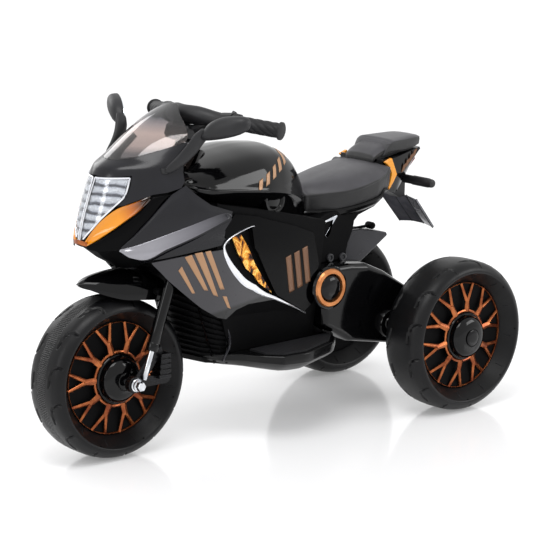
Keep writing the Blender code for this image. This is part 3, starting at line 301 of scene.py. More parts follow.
def redLamp():
    # Red transparent lamp cover, with a moulded prism pattern 3 mm across.
    material, tree, shader = newMaterial(
        "red moulded polycarbonate lamp", "#8E0F0C", 0.12, IOR=1.58, Transmission_Weight=0.3,
    )
    coords = addNode(tree, "ShaderNodeTexCoord")
    waves = addNode(
        tree, "ShaderNodeTexWave", {"Scale": bandScale(3)}, {"Vector": coords.outputs["Object"]},
        bands_direction="Y",
    )
    bump(tree, shader, waves.outputs["Fac"], 0.4, 0.8)
    return material


def ribMat():
    # Ribs 4 mm apart run along the footboard, cut across every 8 mm.
    material = finishes["matRubber"]
    tree = material.node_tree
    coords = addNode(tree, "ShaderNodeTexCoord")
    waves = [
        addNode(tree, "ShaderNodeTexWave", {"Scale": bandScale(pitch)}, {"Vector": coords.outputs["Object"]},
                bands_direction=way)
        for way, pitch in (("Y", 4.0), ("X", 8.0))
    ]
    pattern = addNode(
        tree, "ShaderNodeMath", links={0: waves[0].outputs["Fac"], 1: waves[1].outputs["Fac"]}, operation="MULTIPLY",
    )
    bump(tree, tree.nodes["Principled BSDF"], pattern.outputs["Value"], 0.9, 0.9)


def goldFoil():
    # Hot-stamped foil: bright gold broken by red-brown and black, as crumpled metal reflects.
    material, tree, shader = newMaterial("hot-stamped gold foil on ABS", "#E3A63C", 0.24, Metallic=0.7)
    broken = noise(tree, 26, 2.5, 1.6, (1.0, 1.0, 0.6))
    stops = ((0.0, "#0D0805"), (0.40, "#140B06"), (0.44, "#7A3D14"), (0.50, "#D8912C"), (0.56, "#F4C76A"),
             (0.64, "#B8661F"), (0.70, "#F0B552"))
    coat(tree, shader, broken, stops, noise(tree, 5, 3.0), 0.16, 0.34)
    bump(tree, shader, broken, 1.2, 0.8)
    return material


def graphitePaint():
    # Graphite metallic paint over ABS, satin, turning near black along its lower edge: that black band is a painted
    # reflection of the shadowed floor.
    material, tree, shader = newMaterial(
        "graphite metallic paint on ABS", "#343337", 0.30, IOR=1.5, Metallic=0.15, Coat_Weight=0.10,
        Coat_Roughness=0.12,
    )
    coords = addNode(tree, "ShaderNodeTexCoord")
    parts = addNode(tree, "ShaderNodeSeparateXYZ", links={"Vector": coords.outputs["Object"]})
    # Below a line that slants with x the colour turns near black: painted reflection.
    line = addNode(tree, "ShaderNodeMath", {1: -0.16}, {0: parts.outputs["X"]}, operation="MULTIPLY")
    height = addNode(
        tree, "ShaderNodeMath", links={0: parts.outputs["Z"], 1: line.outputs["Value"]}, operation="SUBTRACT",
    )
    edge = addNode(
        tree, "ShaderNodeMapRange", {"From Min": 0.3080, "From Max": 0.3150}, {"Value": height.outputs["Value"]},
    )
    tree.links.new(ramp(tree, edge.outputs["Result"], ((0.0, "#08080A"), (1.0, "#343337"))),
                   shader.inputs["Base Color"])
    tree.links.new(spread(tree, noise(tree, 3.0, 2.0), 0.24, 0.36), shader.inputs["Roughness"])
    bump(tree, shader, noise(tree, 8.0, 2.0), 0.03, 0.4)
    return material


def wingletPaint():
    # Silver-grey metallic lacquer of the winglets: the brightest painted face on the side, with painted shade that
    # darkens it towards the rear.
    material, tree, shader = newMaterial("silver-grey metallic lacquer on ABS", "#8B8A92", 0.22, Metallic=0.5)
    coords = addNode(tree, "ShaderNodeTexCoord")
    parts = addNode(tree, "ShaderNodeSeparateXYZ", links={"Vector": coords.outputs["Object"]})
    shadeFade = addNode(tree, "ShaderNodeMapRange", {"From Min": 0.185, "From Max": 0.345}, {"Value": parts.outputs["X"]})
    tree.links.new(
        ramp(tree, shadeFade.outputs["Result"], ((0.0, "#2C2C30"), (0.45, "#6C6B71"), (1.0, "#96959B"))),
        shader.inputs["Base Color"],
    )
    tree.links.new(spread(tree, noise(tree, 2.5, 2.0), 0.17, 0.27), shader.inputs["Roughness"])
    bump(tree, shader, noise(tree, 7, 2.0), 0.03, 0.5)
    return material


ribMat()
finishes["goldFoil"] = goldFoil()
# Copper-coloured printed film, flat and slightly sheened, for the stripes on the panels and the tank.
finishes["copperFilm"] = moulded(
    "copper printed vinyl film", "#A8805F", 0.38, "#B38B69", 3.0, 0.02, 0.06, IOR=1.48, Metallic=0.25,
)
finishes["bronzeFilm"] = moulded(
    "bronze printed vinyl film", "#6E4D37", 0.36, "#7A573E", 3.0, 0.02, 0.06, IOR=1.48, Metallic=0.25,
)
# Gloss graphite lacquer of the number-plate flap: its mid grey is lifted from the darker real lacquer as a painted
# reflection, and it keeps strong reflections.
finishes["flapLacquer"] = plated("gloss graphite lacquer on ABS", "#84848C", "#6C6C74", 0.22, 3.0, 0.05, 0.30,
                                 Coat_Weight=0.4)
finishes["amber"] = amberPaint()
# The same amber paint on the tail, without the painted shade: a flat warm orange with a gloss.
finishes["tailAmber"] = moulded(
    "amber gloss paint, even coat", "#F2A01E", 0.22, "#E8931A", 4.0, 0.03, 0.05, IOR=1.5, Coat_Weight=0.3,
)
# Footboards in a harder grade of the black polypropylene: satin, with rounded edges that catch the light.
finishes["panPlastic"] = moulded(
    "black polypropylene, satin moulding", "#050506", 0.22, "#080809", 3.0, 0.05, 0.06, IOR=1.49,
    Specular_IOR_Level=0.22,
)
finishes["graphite"] = graphitePaint()
finishes["silverAbs"] = wingletPaint()
finishes["seatVinyl"] = seatVinyl()
finishes["smoke"] = smokeScreen()
finishes["clearCover"] = clearCover()
finishes["redLamp"] = redLamp()
print("materials made:", len(finishes))

# Finish of each CAD node, where it is the node itself that shows; a star stands for left and right
nodeFinishes = {
    "glossAbs": "front_fender side_fairing_* side_panel_* nose_cowl tank_cover tail_cowl swing_arm_* lower_fairing_*",
    "grainedPp": "floor_pan dash_panel seat_strut rear_fender rear_signal_bar mirror_* accelerator_pedal "
                 "radiator_grille",
    "shadedInnerPp": "main_frame headlight_housing",
    "tyrePlastic": "front_wheel rear_wheel_*",
    "copperPaint": "front_spokes_* rear_spokes_*",
    "goldFoil": "scoop_insert_*", "ringPaint": "pivot_ring_*", "forkMetal": "steering_stem fork_leg_*",
    "barSteel": "handlebar", "gripRubber": "grip_*", "switchAbs": "horn_button direction_rocker",
    "redAbs": "power_button", "brightSteel": "front_axle", "greySteel": "rear_axle",
    "amber": "amber_blade_* tail_blade_*", "chromeAbs": "headlight_lens_*", "smoke": "windscreen",
    "matRubber": "footboard_mat_*", "seatVinyl": "seat_cushion", "redLamp": "tail_light", "batteryCase": "battery",
    "satinAbs": "silencer", "mirrorFilm": "mirror_glass_*",
}
for finishName, members in nodeFinishes.items():
    for name in members.split():
        for member in {name.replace("*", word) for word, side in sides}:
            mesh = nodes[member].data
            mesh.materials.clear()
            mesh.materials.append(finishes[finishName])
print("CAD nodes finished")


# Stage: a pale floor that keeps the shadow, plain light, and the photograph's camera
stage = {
    "floorSize": 60.0, "floorDrop": 0.0006, "floorColour": "#F4F4F5", "floorLift": 0.20, "worldLevel": 0.78,
    "camera": (2.8388, 3.4189, 1.3193), "target": (-0.027, 0.0, 0.3205), "lens": 150.03,
    "lamps": (  # name, place, target, width, depth and power
        ("key softbox", (0.9, 0.7, 2.5), (0.1, 0.0, 0.4), 1.4, 1.0, 26.0),
        ("rear left softbox", (-2.3, 2.3, 1.6), (-0.1, 0.0, 0.35), 1.8, 1.0, 30.0),
        ("front strip", (3.1, 0.2, 1.5), (0.3, 0.0, 0.35), 0.5, 1.6, 12.0),
        ("right fill", (0.2, -2.6, 1.6), (0.0, 0.0, 0.3), 1.6, 1.2, 16.0),
    ),
    "white": (1.0, 1.0, 1.0, 1.0),
}


def seenDirectly(tree):
    # One for camera, mirror and see-through rays, zero for the light that falls on things.
    rays = addNode(tree, "ShaderNodeLightPath")
    first = addNode(
        tree, "ShaderNodeMath", links={0: rays.outputs["Is Camera Ray"], 1: rays.outputs["Is Glossy Ray"]},
        operation="MAXIMUM",
    )
    second = addNode(
        tree, "ShaderNodeMath", links={0: first.outputs["Value"], 1: rays.outputs["Is Transmission Ray"]},
        operation="MAXIMUM",
    )
    return second.outputs["Value"]


def aimed(name, data, place, target):
    # A lamp or camera that stands at a place and looks at its target.
    thing = bpy.data.objects.new(name, data)
    thing.location = place
    thing.rotation_euler = (Vector(target) - Vector(place)).to_track_quat("-Z", "Y").to_euler()
    bpy.context.scene.collection.objects.link(thing)
    return thing


def makeStage():
    scene = bpy.context.scene
    scene.view_settings.view_transform = "Standard"
    world = bpy.data.worlds.new("pale studio")
    world.use_nodes = True
    tree = world.node_tree
    background = tree.nodes["Background"]
    background.inputs["Color"].default_value = stage["white"]
    tree.links.new(spread(tree, seenDirectly(tree), stage["worldLevel"], 1.0), background.inputs["Strength"])
    scene.world = world

    bm = bmesh.new()
    bmesh.ops.create_grid(bm, x_segments=1, y_segments=1, size=stage["floorSize"] / 2)
    bmesh.ops.translate(bm, vec=(0.0, 0.0, -stage["floorDrop"]), verts=bm.verts[:])
    mesh = bpy.data.meshes.new("floor")
    bm.to_mesh(mesh)
    bm.free()
    floor = bpy.data.objects.new("floor", mesh)
    scene.collection.objects.link(floor)
    material, tree, shader = newMaterial("pale studio floor, satin sheet", stage["floorColour"], 0.13, IOR=1.70)
    glow = addNode(tree, "ShaderNodeEmission", {"Color": stage["white"]})
    tree.links.new(spread(tree, seenDirectly(tree), 0.0, stage["floorLift"]), glow.inputs["Strength"])
    total = addNode(tree, "ShaderNodeAddShader", links={0: shader.outputs["BSDF"], 1: glow.outputs["Emission"]})
    tree.links.new(total.outputs["Shader"], tree.nodes["Material Output"].inputs["Surface"])
    mesh.materials.append(material)

    for name, place, target, width, depth, power in stage["lamps"]:
        lamp = bpy.data.lights.new(name, "AREA")
        lamp.shape = "RECTANGLE"
        lamp.size = width
        lamp.size_y = depth
        lamp.energy = power
        aimed(name, lamp, place, target).visible_camera = False

    lens = bpy.data.cameras.new("photograph camera")
    lens.lens = stage["lens"]
    lens.sensor_width = 36.0
    lens.sensor_fit = "HORIZONTAL"
    scene.camera = aimed("photograph camera", lens, stage["camera"], stage["target"])


makeStage()
print("stage set")


# Shared modelling helpers

def addPiece(name, bm, finish, body, stands=(), bevel=0.0, subdivide=0, wall=0.0, sharp=38, segments=2,
             recalculate=True, offset=-1.0, even=True):
    if recalculate:
        bmesh.ops.recalc_face_normals(bm, faces=bm.faces[:])
    mesh = bpy.data.meshes.new(name)
    bm.to_mesh(mesh)
    bm.free()
    mesh.shade_smooth()
    mesh.set_sharp_from_angle(angle=radians(sharp))
    mesh.materials.append(finishes[finish] if isinstance(finish, str) else finish)
    piece = bpy.data.objects.new(name, mesh)
    bpy.context.scene.collection.objects.link(piece)
    if wall:
        shell = piece.modifiers.new("wall", "SOLIDIFY")
        shell.thickness = wall
        shell.offset = offset
        shell.use_even_offset = even
    if bevel:
        edge = piece.modifiers.new("rounded edges", "BEVEL")
        edge.width = bevel
        edge.segments = segments
        edge.limit_method = "ANGLE"
        edge.angle_limit = radians(40)
        edge.harden_normals = True
    if subdivide:
        smooth = piece.modifiers.new("smooth", "SUBSURF")
        smooth.levels = subdivide
        smooth.render_levels = subdivide
    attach(piece, body)
    if stands:
        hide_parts(*stands)
    return piece


def smoothLine(points, count):
    # Evenly numbered places on a Catmull-Rom curve through the points.
    points = [np.array(p, float) for p in points]
    ends = [2 * points[0] - points[1]] + points + [2 * points[-1] - points[-2]]
    found = []
    for i in range(count):
        at = i / (count - 1) * (len(points) - 1)
        k = min(int(at), len(points) - 2)
        t = at - k
        a, b, c, d = ends[k:k + 4]
        squared, cubed = 2 * a - 5 * b + 4 * c - d, 3 * b - a - 3 * c + d
        found.append(0.5 * (2 * b + (c - a) * t + squared * t ** 2 + cubed * t ** 3))
    return found


def mapGrid(bm, across, along, place, close=False):
    # A flat grid is made, then each point goes to place(u, v), with u and v from 0 to 1. Closed, its u edges join.
    made = bmesh.ops.create_grid(bm, x_segments=across, y_segments=along, size=0.5)["verts"]
    for vert in made:
        vert.co = place(vert.co.x + 0.5, vert.co.y + 0.5)
    if close:
        bmesh.ops.remove_doubles(bm, verts=made, dist=0.00002)
    return [v for v in made if v.is_valid]


def closeHoles(bm):
    rim = [edge for edge in bm.edges if edge.is_boundary]
    bmesh.ops.holes_fill(bm, edges=rim, sides=0)


def spun(bm, profile, centre, axis="Y", steps=64):
    # Turns pairs of radius and distance along the axis into a closed body of revolution.
    points = [bm.verts.new((radius, along, 0.0) if axis == "Y" else (radius, 0.0, along)) for radius, along in profile]
    edges = [bm.edges.new(pair) for pair in zip(points, points[1:])]
    turn = (0, 1, 0) if axis == "Y" else (0, 0, 1)
    bmesh.ops.spin(
        bm, geom=points + edges, cent=(0, 0, 0), axis=turn, dvec=(0, 0, 0), angle=2 * pi, steps=steps, use_merge=True,
    )
    bmesh.ops.remove_doubles(bm, verts=bm.verts[:], dist=0.000004)
    bmesh.ops.translate(bm, vec=centre, verts=bm.verts[:])


def addPart(bm, part, recalculate=True):
    # Joins a part, with its own normals, to the piece that is being built.
    if recalculate:
        bmesh.ops.recalc_face_normals(part, faces=part.faces[:])
    mesh = bpy.data.meshes.new("part")
    part.to_mesh(mesh)
    part.free()
    bm.from_mesh(mesh)
    bpy.data.meshes.remove(mesh)


def prism(bm, corners, way):
    # A flat face drawn out along a way.
    face = bm.faces.new([bm.verts.new(corner) for corner in corners])
    made = bmesh.ops.extrude_face_region(bm, geom=[face])["geom"]
    bmesh.ops.translate(bm, vec=way, verts=[v for v in made if isinstance(v, bmesh.types.BMVert)])


def plate(bm, outline, near, far):
    # A flat plate in the X-Z plane between two places across the toy.
    prism(bm, [(x, near, z) for x, z in outline], (0, far - near, 0))


# Wheels: the tyre with its grooves, the black dish behind the spokes, and the domed hub cap
wheel = {
    "radius": 0.160, "halfBase": 0.378, "halfTrack": 0.194,
    "outline": ((0.0000, 0.1600), (0.0120, 0.15985), (0.0220, 0.1593), (0.0330, 0.1577), (0.0420, 0.1538),
                (0.0490, 0.1475), (0.0522, 0.1412), (0.0518, 0.1368), (0.0480, 0.1335), (0.0360, 0.1245),
                (0.0240, 0.1160), (0.0200, 0.1136)),
    "around": 540, "across": 44, "grooves": 13, "grooveDepth": 0.0034, "grooveHalf": 0.0027, "grooveLip": 0.0004,
    "groovePath": ((0.000, 0.0250), (0.016, 0.0262), (0.030, 0.0285), (0.038, 0.0330), (0.0415, 0.0400),
                   (0.0420, 0.0470)),
    "treadFrom": 0.144, "spokeSteps": 10, "turnSteps": 96,
}
wheelSpots = {
    "front_wheel": Vector((wheel["halfBase"], 0.0, wheel["radius"])),
    "rear_wheel_left": Vector((-wheel["halfBase"], wheel["halfTrack"], wheel["radius"])),
    "rear_wheel_right": Vector((-wheel["halfBase"], -wheel["halfTrack"], wheel["radius"])),
}


def tyreMaterial(centre, ribbed):
    # The tyre plastic, on the front wheel with fine ribs over the tread: 4 mm apart, as moulded ones are.
    material, tree, shader = newMaterial(
        "blow-moulded polypropylene tyre, ribbed tread", "#09090A", 0.34, IOR=1.49, Specular_IOR_Level=0.24,
    )
    tree.links.new(ramp(tree, noise(tree, 70, 4.0), ((0.3, "#080809"), (0.75, "#0E0E10"))), shader.inputs["Base Color"])
    tree.links.new(spread(tree, noise(tree, 16, 5.0), 0.30, 0.46), shader.inputs["Roughness"])
    coords = addNode(tree, "ShaderNodeTexCoord")
    local = addNode(
        tree, "ShaderNodeMapping", {"Location": tuple(-c for c in centre)}, {"Vector": coords.outputs["Object"]},
    )
    parts = addNode(tree, "ShaderNodeSeparateXYZ", links={"Vector": local.outputs["Vector"]})
    turn = addNode(
        tree, "ShaderNodeMath", links={0: parts.outputs["Z"], 1: parts.outputs["X"]}, operation="ARCTAN2",
    )
    ribs = addNode(tree, "ShaderNodeMath", {1: 250.0}, {0: turn.outputs["Value"]}, operation="MULTIPLY")
    wave = addNode(tree, "ShaderNodeMath", links={0: ribs.outputs["Value"]}, operation="SINE")
    off = addNode(tree, "ShaderNodeMath", links={0: parts.outputs["Y"]}, operation="ABSOLUTE")
    band = addNode(
        tree, "ShaderNodeMapRange", {"From Min": 0.0140, "From Max": 0.0120}, {"Value": off.outputs["Value"]},
    )
    squared = addNode(
        tree, "ShaderNodeVectorMath", links={0: local.outputs["Vector"]}, operation="LENGTH",
    )
    outer = addNode(
        tree, "ShaderNodeMapRange", {"From Min": 0.150, "From Max": 0.152}, {"Value": squared.outputs["Value"]},
    )
    both = addNode(
        tree, "ShaderNodeMath", links={0: band.outputs["Result"], 1: outer.outputs["Result"]}, operation="MULTIPLY",
    )
    height = addNode(
        tree, "ShaderNodeMath", links={0: wave.outputs["Value"], 1: both.outputs["Value"]}, operation="MULTIPLY",
    )
    fine = bump(tree, shader, noise(tree, 1.4, 2.0), 0.08, 0.5)
    bump(tree, shader, height.outputs["Value"], 0.9, 0.9 if ribbed else 0.0, fine)
    return material


def tyreLine():
    half = smoothLine(wheel["outline"], wheel["across"] + 1)
    return [(-y, r) for y, r in reversed(half)][:-1] + [(y, r) for y, r in half]


def grooveDepth(turn, y):
    # Each groove runs along the edge of the tread, then hooks out over the shoulder.
    pitch = 2 * pi / wheel["grooves"]
    side = 1 if y >= 0 else -1
    phase = (turn * side + (0.0 if side > 0 else pitch / 2)) % pitch
    arc = (phase - pitch * 0.12) * wheel["radius"]
    out = abs(y)
    path = wheel["groovePath"]
    nearest = 1.0
    for (a0, y0), (a1, y1) in zip(path, path[1:]):
        span = (a1 - a0) ** 2 + (y1 - y0) ** 2
        t = min(1.0, max(0.0, ((arc - a0) * (a1 - a0) + (out - y0) * (y1 - y0)) / span))
        gap = ((arc - a0 - t * (a1 - a0)) ** 2 + (out - y0 - t * (y1 - y0)) ** 2) ** 0.5
        nearest = min(nearest, gap)
    half = wheel["grooveHalf"]
    if nearest < half:
        return wheel["grooveDepth"] * (1 - (nearest / half) ** 2)
    if nearest < 2 * half:
        return -wheel["grooveLip"] * (1 - abs(nearest / half - 1.5) * 2)
    return 0.0


def makeTyre(name, centre, body):
    line = tyreLine()
    rings = len(line) - 1
    onTread = [r > wheel["treadFrom"] for y, r in line]
    material = tyreMaterial(centre, body == "front_wheel")
    bm = bmesh.new()

    def place(u, v):
        turn = 2 * pi * u
        k = min(int(round(v * rings)), rings)
        y, r = line[k]
        if onTread[k]:
            r -= grooveDepth(turn, y)
        return Vector((centre.x + r * cos(turn), centre.y + y, centre.z + r * sin(turn)))

    mapGrid(bm, wheel["around"], rings, place, close=True)
    addPiece(f"tyre_{name}", bm, material, body, stands=(body,))


for name, centre in wheelSpots.items():
    makeTyre(name, centre, name)
print("tyres made")

dish = {
    "side": ((0.1136, 0.0200), (0.1128, 0.0206), (0.1095, 0.0206), (0.1085, 0.0190), (0.1060, 0.0070), (0.1040, 0.0055),
             (0.0580, 0.0055), (0.0560, 0.0070), (0.0545, 0.0290), (0.0530, 0.0300), (0.0505, 0.0300)),
    "cap": ((0.0505, 0.0300), (0.0505, 0.0342), (0.0495, 0.0356), (0.0478, 0.0360), (0.0470, 0.0350), (0.0458, 0.0350),
            (0.0452, 0.0372), (0.0440, 0.0440), (0.0410, 0.0492), (0.0350, 0.0530), (0.0270, 0.0556), (0.0195, 0.0566),
            (0.0186, 0.0556), (0.0174, 0.0556), (0.0166, 0.0580), (0.0140, 0.0592), (0.0080, 0.0600), (0.0000, 0.0601)),
    "ribs": 20, "ribReach": (0.058, 0.105), "ribAt": 0.0060, "ribHalf": 0.0011, "ribTall": 0.0050,
}
spoke = {
    "hubRing": (0.0536, 0.0314), "rimRing": (0.1112, 0.0226), "fork": (0.0770, 0.0292), "arm": 9.0, "phase": {
        "front_wheel": 4.2, "rear_wheel_left": 26.2, "rear_wheel_right": 26.2},
    "stemHalf": 0.0064, "armHalf": 0.0042, "tipHalf": 0.0031, "ridge": 0.0036,
}


def limb(bm, start, end, halfStart, halfEnd, ridge, out):
    # A tapered bar with a ridge along its face, lying between two points; out is the way that the ridge points.
    start, end, out = Vector(start), Vector(end), Vector(out)
    way = (end - start).normalized()
    across = way.cross(out).normalized()
    up = across.cross(way).normalized()
    section = ((-1.0, -0.5), (-1.0, 0.10), (-0.72, 0.45), (0.0, 1.0), (0.72, 0.45), (1.0, 0.10), (1.0, -0.5),
               (0.0, -0.6))

    def place(u, v):
        k = int(round(u * len(section))) % len(section)
        side, rise = section[k]
        half = halfStart + (halfEnd - halfStart) * v
        return start + (end - start) * v + across * side * half + up * rise * ridge

    mapGrid(bm, len(section), 4, place, close=True)
    closeHoles(bm)


def sideWord(side):
    return "left" if side > 0 else "right"


def makeSpokes(name, centre, side):
    bm = bmesh.new()

    def at(radius, angle, out):
        turn = radians(angle)
        return Vector((centre.x + radius * cos(turn), centre.y + side * out, centre.z + radius * sin(turn)))

    outward = Vector((0.0, side, 0.0))
    hubR, hubY = spoke["hubRing"]
    rimR, rimY = spoke["rimRing"]
    forkR, forkY = spoke["fork"]
    for k in range(wheel["spokeSteps"]):
        angle = spoke["phase"][name] + 36.0 * k
        limb(bm, at(hubR - 0.002, angle, hubY), at(forkR + 0.001, angle, forkY),
             spoke["stemHalf"] * 1.12, spoke["stemHalf"] * 0.86, spoke["ridge"], outward)
        for lean in (-1, 1):
            root = at(forkR - 0.0055, angle + lean * 0.6, forkY + 0.0003)
            tip = at(rimR + 0.001, angle + lean * spoke["arm"], rimY - 0.0005)
            limb(bm, root, tip, spoke["armHalf"], spoke["tipHalf"], spoke["ridge"] * 0.9, outward)
    for radius, out, half in ((hubR, hubY, 0.0030), (rimR, rimY, 0.0010)):
        section = ((-half, -0.0022), (-half, 0.0004), (0.0, 0.0020), (half, 0.0004), (half, -0.0022), (-half, -0.0022))
        ring = bmesh.new()
        spun(ring, [(radius + r, side * (out + y)) for r, y in section], centre, steps=wheel["turnSteps"])
        addPart(bm, ring)
    stands = (f"front_spokes_{sideWord(side)}",) if name == "front_wheel" else (f"rear_spokes_{name[11:]}",)
    addPiece(f"spokes_{name}_{sideWord(side)}", bm, "copperPaint", name, stands=stands,
             bevel=0.0004, segments=1)


def makeDish(name, centre):
    bm = bmesh.new()
    profile = list(dish["side"]) + [(r, -y) for r, y in reversed(dish["side"])]
    spun(bm, profile, centre, steps=wheel["turnSteps"])
    for side in (-1, 1):
        for k in range(dish["ribs"]):
            turn = radians(spoke["phase"][name] + 9 + 360 / dish["ribs"] * k)
            a = Vector((cos(turn), 0, sin(turn)))
            start, end = (centre + a * radius + Vector((0, side * dish["ribAt"], 0)) for radius in dish["ribReach"])
            limb(bm, start, end, dish["ribHalf"], dish["ribHalf"], dish["ribTall"], (0, side, 0))
    addPiece(f"dish_{name}", bm, "shadedInnerPp", name)


def makeCap(name, centre, side):
    bm = bmesh.new()
    spun(bm, [(r, side * y) for r, y in dish["cap"]], centre, steps=wheel["turnSteps"])
    addPiece(f"hub_cap_{name}_{sideWord(side)}", bm, "glossAbs", name, sharp=30)


# Tick lines and moulding plugs on the tyre's hollow side wall
wallMarks = {"ticks": 12, "plugs": 8, "from": (0.1215, 0.0318), "to": (0.1318, 0.0462), "plugAt": (0.1347, 0.0494)}


def makeWallMarks(name, centre, side):
    bm = bmesh.new()
    inner, outer = wallMarks["from"], wallMarks["to"]
    slope = Vector((-(outer[1] - inner[1]), outer[0] - inner[0])).normalized()
    for k in range(wallMarks["ticks"]):
        turn = radians(spoke["phase"][name] + 12 + 360 / wallMarks["ticks"] * k)
        a = Vector((cos(turn), 0.0, sin(turn)))
        start = centre + a * inner[0] + Vector((0, side * inner[1], 0))
        end = centre + a * outer[0] + Vector((0, side * outer[1], 0))
        limb(bm, start, end, 0.0006, 0.0006, 0.0010, a * slope.x + Vector((0, side * slope.y, 0)))
    addPiece(f"wall_ticks_{name}_{sideWord(side)}", bm, "tyrePlastic", name)
    bm = bmesh.new()
    radius, out = wallMarks["plugAt"]
    for k in range(wallMarks["plugs"]):
        turn = radians(spoke["phase"][name] + 20 + 360 / wallMarks["plugs"] * k)
        spot = centre + Vector((radius * cos(turn), side * (out + 0.0006), radius * sin(turn)))
        turned = Matrix.Translation(spot) @ Matrix.Rotation(-side * pi / 2, 4, "X")
        bmesh.ops.create_cone(bm, cap_ends=True, segments=14, radius1=0.0019, radius2=0.0013, depth=0.0016,
                              matrix=turned)
    addPiece(f"wall_plugs_{name}_{sideWord(side)}", bm, "shadedInnerPp", name)


for name, centre in wheelSpots.items():
    makeDish(name, centre)
    for side in (1, -1):
        makeCap(name, centre, side)
        makeWallMarks(name, centre, side)
for side in (1, -1):
    makeSpokes("front_wheel", wheelSpots["front_wheel"], side)
makeSpokes("rear_wheel_left", wheelSpots["rear_wheel_left"], 1)
makeSpokes("rear_wheel_right", wheelSpots["rear_wheel_right"], -1)
print("dishes, spokes and caps made")


# Front bodywork. Its panels lie on one smooth surface, given by height, nose on the centre line and half width.
bodyShape = {
    "heights": (0.185, 0.235, 0.300, 0.360, 0.405, 0.424, 0.470, 0.515, 0.545, 0.575, 0.592, 0.626, 0.658, 0.683),
    "noses": (0.405, 0.410, 0.410, 0.412, 0.425, 0.442, 0.434, 0.419, 0.4075, 0.393, 0.366, 0.317, 0.268, 0.212),
    "halves": (0.104, 0.112, 0.122, 0.131, 0.137, 0.139, 0.142, 0.138, 0.131, 0.122, 0.1185, 0.112, 0.088, 0.062),
    "waist": 0.110, "taper": 0.12, "taperLength": 0.25,
}


def eased(at, places, values):
    # A cubic through the values that never swings past them.
    k = min(max(int(np.searchsorted(places, at)) - 1, 0), len(places) - 2)
    steps = [(values[i + 1] - values[i]) / (places[i + 1] - places[i]) for i in range(len(places) - 1)]

    def slope(i):
        if i == 0 or i == len(places) - 1:
            return steps[min(i, len(steps) - 1)]
        before, after = steps[i - 1], steps[i]
        return 0.0 if before * after <= 0 else 2 * before * after / (before + after)

    width = places[k + 1] - places[k]
    t = min(1.0, max(0.0, (at - places[k]) / width))
    a, b = slope(k) * width, slope(k + 1) * width
    low, high = values[k], values[k + 1]
    return (low * (2 * t ** 3 - 3 * t ** 2 + 1) + a * (t ** 3 - 2 * t ** 2 + t)
            + high * (3 * t ** 2 - 2 * t ** 3) + b * (t ** 3 - t ** 2))


def surfacePoint(sweep, z, side):
    nose = eased(z, bodyShape["heights"], bodyShape["noses"])
    half = eased(z, bodyShape["heights"], bodyShape["halves"])
    waist = bodyShape["waist"]
    if sweep <= 90:
        turn = radians(sweep)
        return Vector((waist + (nose - waist) * cos(turn), side * half * sin(turn), z))
    back = (sweep - 90) * 0.003
    narrow = 1 - bodyShape["taper"] * (back / bodyShape["taperLength"]) ** 2
    return Vector((waist - back, side * half * narrow, z))


def onBody(sweep, z, side=1, out=0.0):
    # A point on the bodywork, moved out along the surface's own normal.
    here = surfacePoint(sweep, z, side)
    if not out:
        return here
    along = surfacePoint(sweep + 0.5, z, side) - surfacePoint(sweep - 0.5, z, side)
    rise = surfacePoint(sweep, z + 0.001, side) - surfacePoint(sweep, z - 0.001, side)
    normal = along.cross(rise).normalized()
    if normal.dot(Vector((cos(radians(min(sweep, 90))), side * sin(radians(min(sweep, 90))), 0.0))) < 0:
        normal.negate()
    return here + normal * out


def sweepAt(x, z):
    nose = eased(z, bodyShape["heights"], bodyShape["noses"])
    waist = bodyShape["waist"]
    if x <= waist:
        return 90 + (waist - x) / 0.003
    return degrees(acos(min(1.0, (x - waist) / (nose - waist))))


def atX(*points):
    return [(sweepAt(x, z), z) for x, z in points]


def edgeAt(line, u, curved):
    at = u * (len(line) - 1)
    k = min(int(at), len(line) - 2)
    t = at - k
    if not curved:
        return [(1 - t) * p + t * q for p, q in zip(line[k], line[k + 1])]
    points = [[2 * p - q for p, q in zip(line[0], line[1])]] + list(line)
    points += [[2 * p - q for p, q in zip(line[-1], line[-2])]]
    found = []
    for a, b, c, d in zip(*points[k:k + 4]):
        squared, cubed = 2 * a - 5 * b + 4 * c - d, 3 * b - a - 3 * c + d
        found.append(0.5 * (2 * b + (c - a) * t + squared * t * t + cubed * t ** 3))
    return found


def lineOnBody(bm, line, side, lift, half, ridge):
    # A thin raised line through places on the bodywork.
    for a, b in zip(line, line[1:]):
        out = onBody(*a, side, 0.01) - onBody(*a, side)
        limb(bm, onBody(*a, side, lift), onBody(*b, side, lift), half, half, ridge, out)


def skin(name, upper, lower, finish, side=1, stands=(), relief=None, columns=48, rows=14,
         curved=True, wall=0.0030, bevel=0.0011, mirrored=False, depth=0.0, even=True):
    # A moulded skin between an upper and a lower line drawn on the bodywork.
    bm = bmesh.new()

    def place(u, v):
        a, b = edgeAt(upper, u, curved), edgeAt(lower, u, curved)
        sweep, z = ((1 - v) * p + v * q for p, q in zip(a, b))
        out = relief(u, v) if relief else 0.0
        point = onBody(max(sweep, 0.0), z, side, out - depth)
        if mirrored and u == 0.0:
            point.y = 0.0
        return point

    mapGrid(bm, columns, rows, place)
    if mirrored:
        other = bmesh.ops.duplicate(bm, geom=bm.verts[:] + bm.edges[:] + bm.faces[:])["geom"]
        turned = [v for v in other if isinstance(v, bmesh.types.BMVert)]
        bmesh.ops.scale(bm, vec=(1, -1, 1), verts=turned)
        bmesh.ops.remove_doubles(bm, verts=bm.verts[:], dist=0.00003)
    bmesh.ops.recalc_face_normals(bm, faces=bm.faces[:])
    middle = bm.faces[:][len(bm.faces) // 2]
    spot = middle.calc_center_median()
    if middle.normal.dot(Vector((spot.x - 0.05, spot.y, 0.0))) < 0:
        bmesh.ops.reverse_faces(bm, faces=bm.faces[:])
    addPiece(name, bm, finish, "chassis", stands=stands, wall=wall, bevel=bevel, recalculate=False, even=even)


